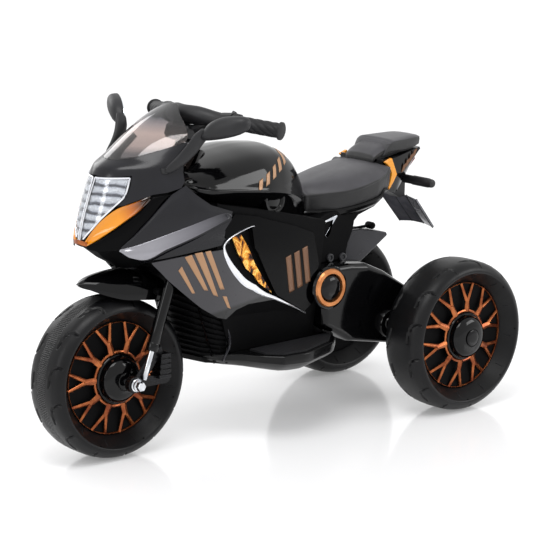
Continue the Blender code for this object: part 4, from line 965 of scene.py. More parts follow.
# Bodywork panels: the lines that bound them, as places round the nose in degrees and heights, or as x and height
cowl = {
    "upper": [(0.0, 0.5890), (10.0, 0.5895), (21.0, 0.5930), (32.0, 0.6025), (42.0, 0.6115), (50.5, 0.6200),
              (59.0, 0.6080), (56.5, 0.5880), (56.5, 0.5700), (57.5, 0.5480), (56.0, 0.5370)],
    "lower": [(0.0, 0.5620), (8.5, 0.5600), (17.0, 0.5600), (30.2, 0.5640), (30.5, 0.5450), (29.5, 0.5270),
              (24.5, 0.5085), (28.0, 0.5085), (34.5, 0.5170), (43.0, 0.5280), (50.0, 0.5305)],
}
screen = {
    "upper": [(0.0, 0.6820), (14.0, 0.6815), (29.5, 0.6700), (42.0, 0.6540), (48.0, 0.6360), (49.9, 0.6260)],
    "lower": [(0.0, 0.5895), (10.0, 0.5900), (21.0, 0.5936), (32.0, 0.6031), (42.0, 0.6121), (49.5, 0.6202)],
}
sideFairing = {
    "hollowUpper": [(8.0, 0.4300), (18.0, 0.4430), (29.0, 0.4670), (38.0, 0.4930), (43.0, 0.5230), (52.0, 0.5270),
                    (57.5, 0.5345)],
    "hollowLower": [(8.0, 0.4252), (20.0, 0.4195), (31.5, 0.4250), (38.5, 0.4540), (45.0, 0.4860), (52.5, 0.5240),
                    (58.0, 0.5345)],
    "upper": [(31.0, 0.4300), (37.0, 0.4520), (43.0, 0.4810), (47.0, 0.5030), (51.7, 0.5260), (57.9, 0.5410),
              (62.5, 0.5220), (69.0, 0.5000), (78.0, 0.4830)],
    "lower": [(30.0, 0.4135), (34.0, 0.4060), (38.0, 0.4015), (43.0, 0.3995), (48.0, 0.4012), (54.0, 0.4045),
              (61.0, 0.4085), (69.0, 0.4130), (78.0, 0.4190)],
}
winglet = {
    "upper": [(30.5, 0.4262), (36.5, 0.4310), (42.2, 0.4374), (50.7, 0.4494), (60.9, 0.4638), (68.9, 0.4753),
              (75.2, 0.4815), (78.1, 0.4755)],
    "lower": [(30.0, 0.4225), (35.0, 0.4120), (40.2, 0.4047), (51.0, 0.4209), (61.4, 0.4391), (69.2, 0.4556),
              (75.2, 0.4689), (78.1, 0.4729)],
    "proud": 0.0085, "lineDrop": 0.0075,
}
lowerFairing = {
    "upper": atX((0.338, 0.3955), (0.285, 0.4030), (0.234, 0.4070), (0.192, 0.4080), (0.181, 0.3900),
                 (0.160, 0.3600), (0.121, 0.3260), (0.087, 0.3030), (0.046, 0.2900)),
    "lower": atX((0.334, 0.3900), (0.306, 0.3592), (0.270, 0.3258), (0.232, 0.2934), (0.192, 0.2680),
                 (0.172, 0.2620), (0.150, 0.2780), (0.120, 0.2860), (0.052, 0.2850)),
}
sidePanel = {
    "upper": atX((0.192, 0.4480), (0.170, 0.4770), (0.140, 0.4710), (0.100, 0.4600), (0.014, 0.4330),
                 (-0.040, 0.4110), (-0.064, 0.3450), (-0.060, 0.2620)),
    "lower": atX((0.190, 0.4300), (0.176, 0.4340), (0.152, 0.4440), (0.128, 0.4500), (0.117, 0.4010),
                 (0.085, 0.3510), (0.048, 0.2940), (-0.036, 0.2450)),
}
blade = {
    "upper": [(7.2, 0.4370), (11.7, 0.4610), (18.0, 0.4840), (26.0, 0.5035), (34.0, 0.5130), (42.0, 0.5240)],
    "lower": [(8.0, 0.4325), (16.0, 0.4450), (24.0, 0.4625), (30.0, 0.4785), (36.8, 0.4985), (41.6, 0.5210)],
}
lens = {
    "upper": [(4.5, 0.4430), (11.0, 0.4640), (17.2, 0.4870), (23.0, 0.5070), (28.2, 0.5280), (29.3, 0.5595)],
    "lower": [(0.9, 0.4400), (0.9, 0.4620), (0.9, 0.4850), (0.9, 0.5070), (1.0, 0.5280), (1.5, 0.5570)],
    "ridges": 6, "frameLift": 0.0008, "frameHalf": 0.0016, "frameRidge": 0.0014,
}


def softStep(at, start, end):
    t = min(1.0, max(0.0, (at - start) / (end - start)))
    return t * t * (3 - 2 * t)


def hollowRelief(u, v):
    # The channel behind the amber blade sinks towards the crease.
    return -0.0004 - 0.0028 * softStep(v, 0.15, 0.9) * softStep(u, 0.05, 0.3)


def fairingRelief(u, v):
    # The edge along the crease stands up, and the panel falls away below the winglet.
    lip = 0.0026 * softStep(v, 0.14, 0.0) * softStep(u, 0.0, 0.2)
    hollow = -0.0026 * softStep(v, 0.60, 0.88)
    return lip + hollow


def wingletRelief(u, v):
    ends = softStep(u, 0.0, 0.12) * softStep(u, 1.0, 0.86)
    rise = softStep(v, 0.0, 0.86) if v < 0.9 else max(0.0, (1.0 - v) / 0.1)
    return winglet["proud"] * ends * rise + 0.0006


def bladeRelief(u, v):
    return -0.0035 * (1 - (2 * v - 1) ** 2)


def makePanels(word, side):
    skin(f"fairing_skin_{word}", sideFairing["upper"], sideFairing["lower"], "reflectionGreyAbs", side,
         stands=(f"side_fairing_{word}",), relief=fairingRelief, columns=72, rows=28, curved=False)
    skin(f"lamp_channel_{word}", sideFairing["hollowUpper"], sideFairing["hollowLower"], "pianoAbs", side,
         relief=hollowRelief, columns=60, rows=18, curved=False, wall=0.0008, bevel=0.0)
    bm = bmesh.new()
    edge = [edgeAt(winglet["lower"], k / 28, True) for k in range(29)]
    lineOnBody(bm, [(a, z - winglet["lineDrop"]) for a, z in edge], side, -0.0016, 0.0011, 0.0018)
    addPiece(f"winglet_line_{word}", bm, "reflectionGreyAbs", "chassis")
    skin(f"winglet_{word}", winglet["upper"], winglet["lower"], "silverAbs", side,
         relief=wingletRelief, columns=56, rows=20, wall=0.0015, bevel=0.0)
    skin(f"lower_skin_{word}", lowerFairing["upper"], lowerFairing["lower"], "graphite", side,
         stands=(f"lower_fairing_{word}",), columns=80, rows=22, curved=False)
    skin(f"panel_skin_{word}", sidePanel["upper"], sidePanel["lower"], "pianoAbs", side,
         stands=(f"side_panel_{word}",), columns=72, rows=22, curved=False)
    skin(f"amber_skin_{word}", blade["upper"], blade["lower"], "amber", side,
         stands=(f"amber_blade_{word}",), relief=bladeRelief, columns=48, rows=12, bevel=0.0009)


for word, side in sides:
    makePanels(word, side)
skin("cowl_skin", cowl["upper"], cowl["lower"], "reflectionGreyAbs", stands=("nose_cowl",), columns=100,
     rows=20,
     curved=False, mirrored=True, even=False)
skin("screen_skin", screen["upper"], screen["lower"], "smoke", stands=("windscreen",), columns=60, rows=24,
     mirrored=True, wall=0.0022, bevel=0.0006)
print("bodywork panels made")


# Headlights: a stepped metallised reflector behind a clear cover, in a bright frame
def lensRelief(u, v):
    step = (u * lens["ridges"]) % 1.0
    return -0.0034 + 0.0014 * step


def makeHeadlight(word, side):
    skin(f"reflector_{word}", lens["upper"], lens["lower"], "lampReflector", side,
         stands=(f"headlight_lens_{word}",), relief=lensRelief, columns=96, rows=16, wall=0.0010, bevel=0.0)
    skin(f"lamp_cover_{word}", lens["upper"], lens["lower"], "clearCover", side, columns=48, rows=12,
         wall=0.0012, bevel=0.0, depth=0.0004)
    bm = bmesh.new()
    a, b = edgeAt(lens["upper"], 1.0, True), edgeAt(lens["lower"], 1.0, True)
    border = [[edgeAt(line, k / 30, True) for k in range(31)] for line in (lens["upper"], lens["lower"])]
    border.append([[x + (y - x) * k / 10 for x, y in zip(a, b)] for k in range(11)])
    for line in border:
        lineOnBody(bm, line, side, lens["frameLift"], lens["frameHalf"], lens["frameRidge"])
    addPiece(f"lamp_frame_{word}", bm, "chromeAbs", "chassis")


for word, side in sides:
    makeHeadlight(word, side)
skin("nose_lip", [(0.0, 0.4400), (4.0, 0.4392), (8.5, 0.4375)], [(0.0, 0.4312), (4.0, 0.4305), (8.5, 0.4300)],
     "copperPaint",
     columns=16, rows=6, mirrored=True, depth=-0.0006, wall=0.0014, bevel=0.0004)
print("headlights made")


# The scoop: a bright rim in front of the gold foil insert
scoop = {
    "rim": atX((0.123, 0.4473), (0.133, 0.4466), (0.161, 0.4381), (0.184, 0.4269), (0.1915, 0.4100), (0.1810, 0.3860),
               (0.1590, 0.3570), (0.1260, 0.3275), (0.0870, 0.3035), (0.0510, 0.2870), (0.0070, 0.2655),
               (-0.0385, 0.2410)),
    "half": (0.0009, 0.0010, 0.0012, 0.0014, 0.0022, 0.0042, 0.0062, 0.0066, 0.0050, 0.0032, 0.0020, 0.0008),
}


def makeRim(word, side):
    # The bright rim widens towards its middle, with a rounded face.
    bm = bmesh.new()
    section = ((-1.0, -0.8), (-1.0, 0.0), (-0.5, 0.75), (0.0, 1.0), (0.5, 0.75), (1.0, 0.0), (1.0, -0.8))

    def place(u, v):
        k = int(round(u * len(section))) % len(section)
        sweep, z = edgeAt(scoop["rim"], v, True)
        half = float(np.interp(v, np.linspace(0, 1, len(scoop["half"])), scoop["half"]))
        before, after = edgeAt(scoop["rim"], max(0.0, v - 0.01), True), edgeAt(scoop["rim"], min(1.0, v + 0.01), True)
        way = (onBody(after[0], after[1], side) - onBody(before[0], before[1], side)).normalized()
        here = onBody(sweep, z, side)
        normal = (onBody(sweep, z, side, 0.01) - here).normalized()
        across = way.cross(normal)
        return here + across * section[k][0] * half + normal * (0.0008 + section[k][1] * 0.0016)

    mapGrid(bm, len(section), 90, place, close=True)
    closeHoles(bm)
    addPiece(f"scoop_rim_{word}", bm, "chromeAbs", "chassis")


for word, side in sides:
    makeRim(word, side)
print("scoops made")


# Tank cover, with a lip along each side, an undercut below it and a round cap in a recess
tank = {
    "x": (0.270, 0.235, 0.190, 0.130, 0.070, 0.012, -0.034, -0.066, -0.084),
    "half": (0.090, 0.112, 0.120, 0.122, 0.118, 0.104, 0.086, 0.070, 0.054),
    "floorHalf": (0.112, 0.116, 0.118, 0.117, 0.110, 0.096, 0.080, 0.066, 0.054),
    "floor": (0.536, 0.512, 0.496, 0.483, 0.469, 0.454, 0.440, 0.432, 0.427),
    "top": (0.546, 0.566, 0.576, 0.585, 0.590, 0.586, 0.568, 0.530, 0.484),
    "notch": 0.052, "cutFront": 0.262, "cap": (0.0370, 0.0975, 0.4830),
    "dashRoom": ((0.190, 0.0540), (0.300, 0.0900), (0.300, -0.0900), (0.190, -0.0540)),
    "capLine": ((0.0, 0.0030), (0.0150, 0.0036), (0.0185, 0.0024), (0.0205, 0.0024), (0.0235, 0.0062),
                (0.0280, 0.0064), (0.0310, 0.0030), (0.0320, -0.010), (0.0, -0.010)),
}
upSteer = Vector((-sin(radians(20)), 0.0, cos(radians(20))))
steerFoot = Vector((0.355, 0.0, 0.160))


def steerPoint(height, forward=0.0, y=0.0):
    along = (height - steerFoot.z) / upSteer.z
    return steerFoot + upSteer * along + Vector((cos(radians(20)), 0.0, sin(radians(20)))) * forward + Vector((0, y, 0))


def tankSection(x):
    at = -np.array(tank["x"])
    half, low, floor, top = (eased(-x, list(at), list(tank[key])) for key in ("half", "floorHalf", "floor", "top"))
    tall = top - floor
    return [
        (low * 0.86, floor), (low * 0.97, floor + 0.16 * tall), (max(low, half), floor + 0.285 * tall),
        (max(low, half) * 1.006, floor + 0.325 * tall), (max(low, half) * 0.992, floor + 0.365 * tall),
        (half * 0.960, floor + 0.50 * tall), (half * 0.880, floor + 0.70 * tall), (half * 0.720, floor + 0.86 * tall),
        (half * 0.450, floor + 0.955 * tall), (half * 0.16, floor + 0.995 * tall), (0.0, top),
    ]


def cutAway(piece, name, bm):
    # Takes the cutter's shape out of a piece for good.
    shape = bpy.data.meshes.new(name)
    bm.to_mesh(shape)
    bm.free()
    cutter = bpy.data.objects.new(name, shape)
    bpy.context.scene.collection.objects.link(cutter)
    step = piece.modifiers.new("room", "BOOLEAN")
    step.operation = "DIFFERENCE"
    step.solver = "EXACT"
    step.object = cutter
    bpy.context.view_layer.update()
    result = bpy.data.meshes.new_from_object(piece.evaluated_get(bpy.context.evaluated_depsgraph_get()))
    piece.modifiers.clear()
    piece.data = result
    bpy.data.objects.remove(cutter)


def makeTank():
    bm = bmesh.new()

    def place(u, v):
        x = tank["x"][0] + (tank["x"][-1] - tank["x"][0]) * v
        y, z = edgeAt(tankSection(x), 1 - abs(2 * u - 1), True)
        return Vector((x, (1 if u < 0.5 else -1) * max(y, 0.0), z))

    mapGrid(bm, 80, 64, place)
    bmesh.ops.remove_doubles(bm, verts=bm.verts[:], dist=0.00002)
    closeHoles(bm)
    bmesh.ops.recalc_face_normals(bm, faces=bm.faces[:])
    # The steering and the dash need room, so the front middle is cut away.
    everything = bm.verts[:] + bm.edges[:] + bm.faces[:]
    cutPlace = (tank["cutFront"], 0, 0)
    bmesh.ops.bisect_plane(bm, geom=everything, plane_co=cutPlace, plane_no=(1, 0, 0), clear_outer=True)
    closeHoles(bm)
    piece = addPiece("tank_shell", bm, "glossAbs", "chassis", stands=("tank_cover",), sharp=28)
    bm = bmesh.new()
    way = upSteer.to_track_quat("Z", "Y").to_matrix().to_4x4()
    bmesh.ops.create_cone(
        bm, cap_ends=True, segments=64, radius1=tank["notch"], radius2=tank["notch"], depth=0.40,
        matrix=Matrix.Translation(steerPoint(0.55)) @ way,
    )
    cutAway(piece, "steering room", bm)
    bm = bmesh.new()
    prism(bm, [(x, y, 0.40) for x, y in tank["dashRoom"]], (0, 0, 0.30))
    bmesh.ops.recalc_face_normals(bm, faces=bm.faces[:])
    cutAway(piece, "dash room", bm)
    piece.data.shade_smooth()
    piece.data.set_sharp_from_angle(angle=radians(28))


makeTank()
for word, side in sides:
    bm = bmesh.new()
    capSpot = Vector((tank["cap"][0], side * tank["cap"][1], tank["cap"][2]))
    spun(bm, tank["capLine"], (0, 0, 0), steps=56)
    if side < 0:
        bmesh.ops.rotate(bm, cent=(0, 0, 0), matrix=Matrix.Rotation(pi, 3, "Z"), verts=bm.verts[:])
    bmesh.ops.rotate(bm, cent=(0, 0, 0), matrix=Matrix.Rotation(side * radians(8), 3, "Z"), verts=bm.verts[:])
    bmesh.ops.translate(bm, vec=capSpot, verts=bm.verts[:])
    addPiece(f"tank_cap_{word}", bm, "glossAbs", "chassis", bevel=0.0006)
print("tank made")


# Seat: a padded saddle that rises to a raised rear pad with its own front face
seat = {
    "x": (-0.1000, -0.1250, -0.1750, -0.2250, -0.2500, -0.2660, -0.2850, -0.3200, -0.3700, -0.4150, -0.4380),
    "half": (0.046, 0.064, 0.089, 0.097, 0.097, 0.094, 0.089, 0.080, 0.066, 0.052, 0.040),
    "top": (0.486, 0.4915, 0.5010, 0.5085, 0.5120, 0.5140, 0.5150, 0.5150, 0.564, 0.564, 0.558),
    "crease": (0.464, 0.467, 0.472, 0.482, 0.488, 0.493, 0.498, 0.517, 0.533, 0.541, 0.545),
    "low": (0.4332, 0.4327, 0.4367, 0.4442, 0.4492, 0.4552, 0.4970, 0.5126, 0.5236, 0.5306, 0.5366),
    "saddle": (-0.0860, -0.3050), "trayTop": 0.4640, "overlap": 0.0050,
}


def seatSection(x):
    at = [-p for p in seat["x"]]
    half, top, crease, low = (eased(-x, at, list(seat[key])) for key in ("half", "top", "crease", "low"))
    crease = max(crease, low + 0.008)
    return half, top, crease, low


def halfSection(section, u, curved):
    # A place on a section that runs down the left side for half of u and up the right side for the rest.
    y, z = edgeAt(section, 2 * u if u <= 0.5 else 2 - 2 * u, curved)
    return (1 if u <= 0.5 else -1) * abs(y), z


def makeSaddle():
    # One crowned cushion: its section swells over the crease and draws in towards both ends.
    bm = bmesh.new()
    start, end = seat["saddle"]

    def place(u, v):
        x = start + (end - start) * v
        half, top, crease, low = seatSection(x)
        low = min(low, seat["trayTop"]) - seat["overlap"]
        top += -0.004 * softStep(v, 0.90, 1.0)
        crease = max(min(crease, top - 0.006), low + 0.006)
        crown = top - crease
        section = [
            (0.0, top), (half * 0.30, top - 0.0005), (half * 0.64, top - 0.20 * crown),
            (half * 0.88, top - 0.62 * crown),
            (half * 0.985, crease + 0.002), (half * 0.975, crease - 0.0015), (half * 0.985, crease - 0.0045),
            (half * 0.95, 0.45 * crease + 0.55 * low), (half * 0.86, low), (half * 0.40, low), (0.0, low),
        ]
        y, z = halfSection(section, u, True)
        ends = 1 - 0.30 * softStep(v, 0.05, 0.0) - 0.30 * softStep(v, 0.95, 1.0)
        middle = (top + low) / 2
        return Vector((x, y * ends, middle + (z - middle) * (0.70 + 0.30 * ends)))

    mapGrid(bm, 44, 60, place, close=True)
    closeHoles(bm)
    piece = addPiece("seat_saddle", bm, "seatVinyl", "chassis", stands=("seat_cushion",), sharp=75,
                     subdivide=1)


makeSaddle()

# Raised rear pad and the grab rail that wraps it: x, half width, top, crease and floor along the seat
rearPad = {
    "seat_rear_pad": {
        "stations": ((-0.2815, 0.0425, 0.5215, 0.5190, 0.5140), (-0.2870, 0.0440, 0.5330, 0.5260, 0.5140),
                     (-0.3000, 0.0450, 0.5415, 0.5330, 0.5160), (-0.3180, 0.0455, 0.5480, 0.5390, 0.5200),
                     (-0.3415, 0.0450, 0.5545, 0.5440, 0.5240), (-0.3800, 0.0420, 0.5575, 0.5480, 0.5290)),
        "slant": 0.0},
    "seat_tail_rail": {
        "stations": ((-0.3035, 0.0515, 0.5540, 0.5500, 0.5225), (-0.3200, 0.0520, 0.5585, 0.5545, 0.5290),
                     (-0.3450, 0.0505, 0.5595, 0.5550, 0.5300), (-0.3800, 0.0465, 0.5605, 0.5550, 0.5290),
                     (-0.4050, 0.0425, 0.5605, 0.5550, 0.5340), (-0.4240, 0.0370, 0.5580, 0.5540, 0.5380)),
        "slant": 0.0200},
}


def makeRearPad(name, plan):
    bm = bmesh.new()

    def place(u, v):
        x, half, top, crease, low = edgeAt(plan["stations"], v, True)
        crown = top - crease
        section = [
            (0.0, top), (half * 0.35, top - 0.0004), (half * 0.70, top - 0.18 * crown),
            (half * 0.92, top - 0.60 * crown),
            (half, crease), (half * 0.990, crease - 0.0015), (half, crease - 0.0050),
            (half * 0.97, 0.4 * crease + 0.6 * low), (half * 0.90, low), (half * 0.40, low), (0.0, low),
        ]
        y, z = halfSection(section, u, True)
        return Vector((x - plan["slant"] * (z - low) / (top - low) * softStep(v, 0.5, 0.0), y, z))

    mapGrid(bm, 48, 40, place, close=True)
    closeHoles(bm)
    piece = addPiece(name, bm, "seatVinyl", "chassis", sharp=75, subdivide=1)


for name, plan in rearPad.items():
    makeRearPad(name, plan)

# Tray under the saddle: a black moulding that draws in towards the strut
tray = {"from": -0.0900, "to": -0.2880, "deep": 0.0180}


def makeTray():
    bm = bmesh.new()

    def place(u, v):
        x = tray["from"] + (tray["to"] - tray["from"]) * v
        half, top, crease, low = seatSection(x)
        low = min(low, seat["trayTop"])
        deep = tray["deep"] * (1 - 0.55 * softStep(v, 0.80, 1.0))
        section = [(0.0, low), (half * 0.94, low + 0.002), (half * 0.97, low - 0.002), (half * 0.93, low - 0.6 * deep),
                   (half * 0.82, low - deep), (0.0, low - deep)]
        return Vector((x, *halfSection(section, u, False)))

    mapGrid(bm, 40, 40, place, close=True)
    closeHoles(bm)
    addPiece("seat_tray", bm, "panPlastic", "chassis", bevel=0.0012)


makeTray()
print("seat made")


# Tail: the cowl under the seat, its amber blades, the lamp, and the flap with its three folds
tail = {
    "blade": ((-0.2890, 0.5180), (-0.3080, 0.5250), (-0.3160, 0.5060), (-0.3230, 0.4890), (-0.3130, 0.4740),
              (-0.3010, 0.4590),
              (-0.2985, 0.4640), (-0.3040, 0.4780), (-0.3080, 0.4930), (-0.3000, 0.5080)),
    "x": (-0.2880, -0.3150, -0.3450, -0.3850, -0.4220), "half": (0.0680, 0.0660, 0.0610, 0.0510, 0.0400),
    "low": (0.4600, 0.4500, 0.4440, 0.4859, 0.5250), "high": (0.5220, 0.5200, 0.5240, 0.5290, 0.5330),
}
flap = {
    "top": Vector((-0.4020, 0.0, 0.4262)), "foot": Vector((-0.4575, 0.0, 0.3585)),
    "lift": Vector((-0.7809, 0.0, 0.6247)),  # the way that its face looks
    "folds": ((-0.056, -0.0040), (-0.0205, 0.0022), (-0.0165, 0.0022), (0.0165, 0.0022), (0.0205, 0.0022),
              (0.056, -0.0040)),
    "seams": ((-0.0545, -0.0038), (-0.0190, 0.0022), (0.0190, 0.0022), (0.0545, -0.0038)),
    "arm": ((-0.3490, 0.4448), (-0.3830, 0.4735), (-0.4020, 0.4640), (-0.4010, 0.4245), (-0.3850, 0.4240)),
}


def makeTailCowl():
    bm = bmesh.new()

    def place(u, v):
        x = tail["x"][0] + (tail["x"][-1] - tail["x"][0]) * v
        at = [-p for p in tail["x"]]
        half, low, high = (float(np.interp(-x, at, tail[key])) for key in ("half", "low", "high"))
        section = [(0.0, low), (half * 0.78, low), (half * 0.97, low + 0.40 * (high - low)),
                   (half, low + 0.5 * (high - low)),
                   (half * 0.95, high), (0.0, high)]
        return Vector((x, *halfSection(section, u, False)))

    mapGrid(bm, 40, 20, place, close=True)
    closeHoles(bm)
    addPiece("tail_shell", bm, "glossAbs", "chassis", stands=("tail_cowl",), bevel=0.002)


makeTailCowl()
for word, side in sides:
    bm = bmesh.new()
    plate(bm, tail["blade"], side * 0.0665, side * 0.0745)
    addPiece(f"tail_blade_skin_{word}", bm, "tailAmber", "chassis", stands=(f"tail_blade_{word}",),
             bevel=0.0012)


def makeFlap():
    # Three folded facets with raised seams between them, on an arm from the tail.
    bm = bmesh.new()
    top, foot, lift = flap["top"], flap["foot"], flap["lift"]

    def place(u, v):
        y, out = edgeAt(flap["folds"], u, False)
        sag = 0.0030 * sin(pi * v)
        return top + (foot - top) * v + Vector((0, y * (1.0 - 0.06 * v), 0)) + lift * (out - sag * 0.3 - 0.0020)

    mapGrid(bm, 40, 16, place)
    addPiece("flap_skin", bm, "flapLacquer", "chassis", stands=("rear_fender",), wall=0.0028,
             bevel=0.0008, offset=0.0)
    bm = bmesh.new()
    for y, out in flap["seams"]:
        for height in (out - 0.0008, out - 0.0034):
            a = top + Vector((0, y, 0)) + lift * height
            b = foot + Vector((0, y * 0.94, 0)) + lift * height
            limb(bm, a, b, 0.0014, 0.0014, 0.0022, lift)
    plate(bm, flap["arm"], -0.016, 0.016)
    addPiece("flap_seams", bm, "grainedPp", "chassis", bevel=0.0006)


def capsule(bm, start, end, radius, rounding=0.6, steps=24):
    # A rounded bar between two points.
    start, end = Vector(start), Vector(end)
    way = end - start
    turned = way.to_track_quat("Z", "Y").to_matrix().to_4x4()
    length = way.length
    profile = [(0.0, 0.0), (radius * 0.55, radius * 0.05), (radius * 0.88, radius * 0.30 * rounding),
               (radius, radius * rounding),
               (radius, length - radius * rounding), (radius * 0.88, length - radius * 0.30 * rounding),
               (radius * 0.55, length - radius * 0.05), (0.0, length)]
    part = bmesh.new()
    spun(part, profile, (0, 0, 0), axis="Z", steps=steps)
    bmesh.ops.transform(part, matrix=Matrix.Translation(start) @ turned, verts=part.verts[:])
    addPart(bm, part)


makeFlap()
bm = bmesh.new()
capsule(bm, (-0.3910, -0.1130, 0.4660), (-0.3910, 0.1130, 0.4660), 0.0092)
for side in (1, -1):
    capsule(bm, (-0.3910, side * 0.0480, 0.4660), (-0.3910, side * 0.1050, 0.4660), 0.0102)
addPiece("signal_bar_skin", bm, "grainedPp", "chassis", stands=("rear_signal_bar",))
print("tail made")


# Rear end: pivot domes, axle bosses, a bright strip that is a painted highlight on the strut, its bolts, and the arms'
# smooth covers
arm = {
    "outline": ((-0.0754, 0.3290), (-0.0754, 0.2100), (-0.1500, 0.1640), (-0.2700, 0.1400), (-0.3780, 0.1300),
                (-0.4010, 0.1400), (-0.4080, 0.1600), (-0.4000, 0.1850), (-0.3100, 0.2620), (-0.2500, 0.3000),
                (-0.2000, 0.3230), (-0.1500, 0.3290)),
    "middle": (-0.200, 0.235), "levels": (  # place across the toy, and how far the edge is drawn in there
        (0.070, 0.0), (0.100, 0.0), (0.110, 0.0008), (0.116, 0.0030), (0.1200, 0.0070), (0.1218, 0.0130),
        (0.1220, 0.022)),
    "fittings": (  # turned profile, then where it stands: motor cap, pivot dome and its ring, axle boss
        (((0.0, 0.0160), (0.0150, 0.0160), (0.0165, 0.0135), (0.0230, 0.0135), (0.0245, 0.0160), (0.0285, 0.0152),
          (0.0300, 0.0120), (0.0310, 0.0)), (-0.2560, 0.1180, 0.1880)),
        (((0.0, 0.0110), (0.0120, 0.0105), (0.0210, 0.0085), (0.0262, 0.0045), (0.0275, 0.0020), (0.0285, 0.0)),
         (-0.092, 0.1224, 0.288)),
        (((0.0405, 0.0), (0.0405, 0.0035), (0.0440, 0.0030), (0.0455, 0.0)), (-0.092, 0.1222, 0.288)),
        (((0.0070, 0.0), (0.0240, 0.0), (0.0250, 0.0020), (0.0250, 0.0070), (0.0225, 0.0085), (0.0225, 0.0110),
          (0.0245, 0.0125), (0.0245, 0.0175), (0.0200, 0.0195), (0.0200, 0.0270), (0.0070, 0.0270)),
         (-0.378, 0.1224, 0.160)),
    ),
    # A bright steel strip shaped like the highlight on a recess edge of the strut: a painted highlight.
    "bracket": ((-0.1160, 0.4170), (-0.1180, 0.4135), (-0.1380, 0.4165), (-0.1300, 0.3900), (-0.1225, 0.3825),
                (-0.1190, 0.3850), (-0.1270, 0.3960), (-0.1500, 0.4230), (-0.1480, 0.4255)),
    "bolts": ((-0.1310, 0.3375), (-0.1655, 0.3345)),
    "boltLine": ((0.0, 0.0020), (0.0040, 0.0020), (0.0046, 0.0042), (0.0072, 0.0046), (0.0086, 0.0036), (0.0092, 0.0)),
}


def makeArm(word, side):
    bm = bmesh.new()
    middle = Vector(arm["middle"])
    outline = list(arm["outline"]) + [arm["outline"][0]]

    def place(u, v):
        y, inset = edgeAt(arm["levels"], v, False)
        x, z = edgeAt(outline, u, False)
        way = Vector((x, z)) - middle
        spot = middle + way.normalized() * (way.length - min(inset, 0.5 * way.length))
        return Vector((spot.x, side * y, spot.y))

    def turned(bm, profile, x, y, z, steps):
        part = bmesh.new()
        spun(part, [(r, side * out) for r, out in profile], (x, side * y, z), steps=steps)
        addPart(bm, part)

    mapGrid(bm, 120, 12, place, close=True)
    closeHoles(bm)
    addPiece(f"arm_skin_{word}", bm, "glossAbs", "chassis", stands=(f"swing_arm_{word}",),
             bevel=0.003, segments=3, sharp=30)
    bm = bmesh.new()
    for profile, spot in arm["fittings"]:
        turned(bm, profile, *spot, 48)
    addPiece(f"arm_fittings_{word}", bm, "glossAbs", "chassis", sharp=30, recalculate=False)
    bm = bmesh.new()
    # The bright strip on the strut, a painted highlight.
    plate(bm, arm["bracket"], side * 0.0782, side * 0.0806)
    addPiece(f"strut_highlight_strip_{word}", bm, "brightSteel", "chassis", bevel=0.0005)
    bm = bmesh.new()
    for x, z in arm["bolts"]:
        turned(bm, arm["boltLine"], x, 0.0782, z, 28)
    addPiece(f"strut_bolts_{word}", bm, "switchAbs", "chassis", recalculate=False)


for word, side in sides:
    makeArm(word, side)
print("rear end made")


# Floor pan: one tray with drawn-in walls, a rounded rim and a keel that rises towards the front
pan = {
    "top": ((0.188, 0.052), (0.166, 0.092), (0.132, 0.116), (0.112, 0.150), (0.080, 0.184), (0.020, 0.190),
            (-0.075, 0.156),
            (-0.104, 0.128), (-0.114, 0.100), (-0.116, 0.068), (-0.150, 0.068), (-0.150, 0.0)),
    "low": ((0.168, 0.042), (0.148, 0.074), (0.118, 0.098), (0.095, 0.120), (0.066, 0.144), (0.016, 0.150),
            (-0.066, 0.120),
            (-0.090, 0.100), (-0.100, 0.085), (-0.104, 0.060), (-0.138, 0.060), (-0.138, 0.0)),
    "levels": ((0.0, 0.1430), (0.10, 0.1432), (0.45, 0.1500), (0.80, 0.1590), (0.97, 0.1650), (1.0, 0.1700),
               (1.0, 0.1790),
               (0.99, 0.1822), (0.96, 0.1838)),
}


def bothHalves(half):
    return list(half) + [(x, -y) for x, y in reversed(half) if y > 0]


def makePan():
    bm = bmesh.new()
    top, low = bothHalves(pan["top"]), bothHalves(pan["low"])
    top.append(top[0])
    low.append(low[0])

    def place(u, v):
        part, z = edgeAt(list(pan["levels"]), v, False)
        a, b = edgeAt(low, u, False), edgeAt(top, u, False)
        x, y = ((1 - part) * p + part * q for p, q in zip(a, b))
        keel = 0.016 * softStep(x, 0.030, 0.165) * (0.1838 - z) / 0.0408  # the underside rises towards the front
        return Vector((x, y, z + keel))

    mapGrid(bm, (len(top) - 1) * 5, 16, place, close=True)
    closeHoles(bm)
    addPiece("pan_skin", bm, "panPlastic", "chassis", stands=("floor_pan",), bevel=0.0022, sharp=30)


makePan()
print("pan made")


# Radiator: slanted fins that wrap round the front, a post up each side, and a bright edge strip behind
radiator = {
    "fins": 11, "front": 0.236, "frontLow": 0.194, "rear": (0.150, 0.0880), "corner": 0.0865, "finDepth": 0.0045,
    "strip": ((0.1640, 0.0905, 0.2560), (0.1530, 0.0925, 0.2380), (0.1480, 0.0945, 0.2200), (0.1510, 0.0985, 0.2000),
              (0.1600, 0.0985, 0.1860), (0.1670, 0.0965, 0.1720)),
}


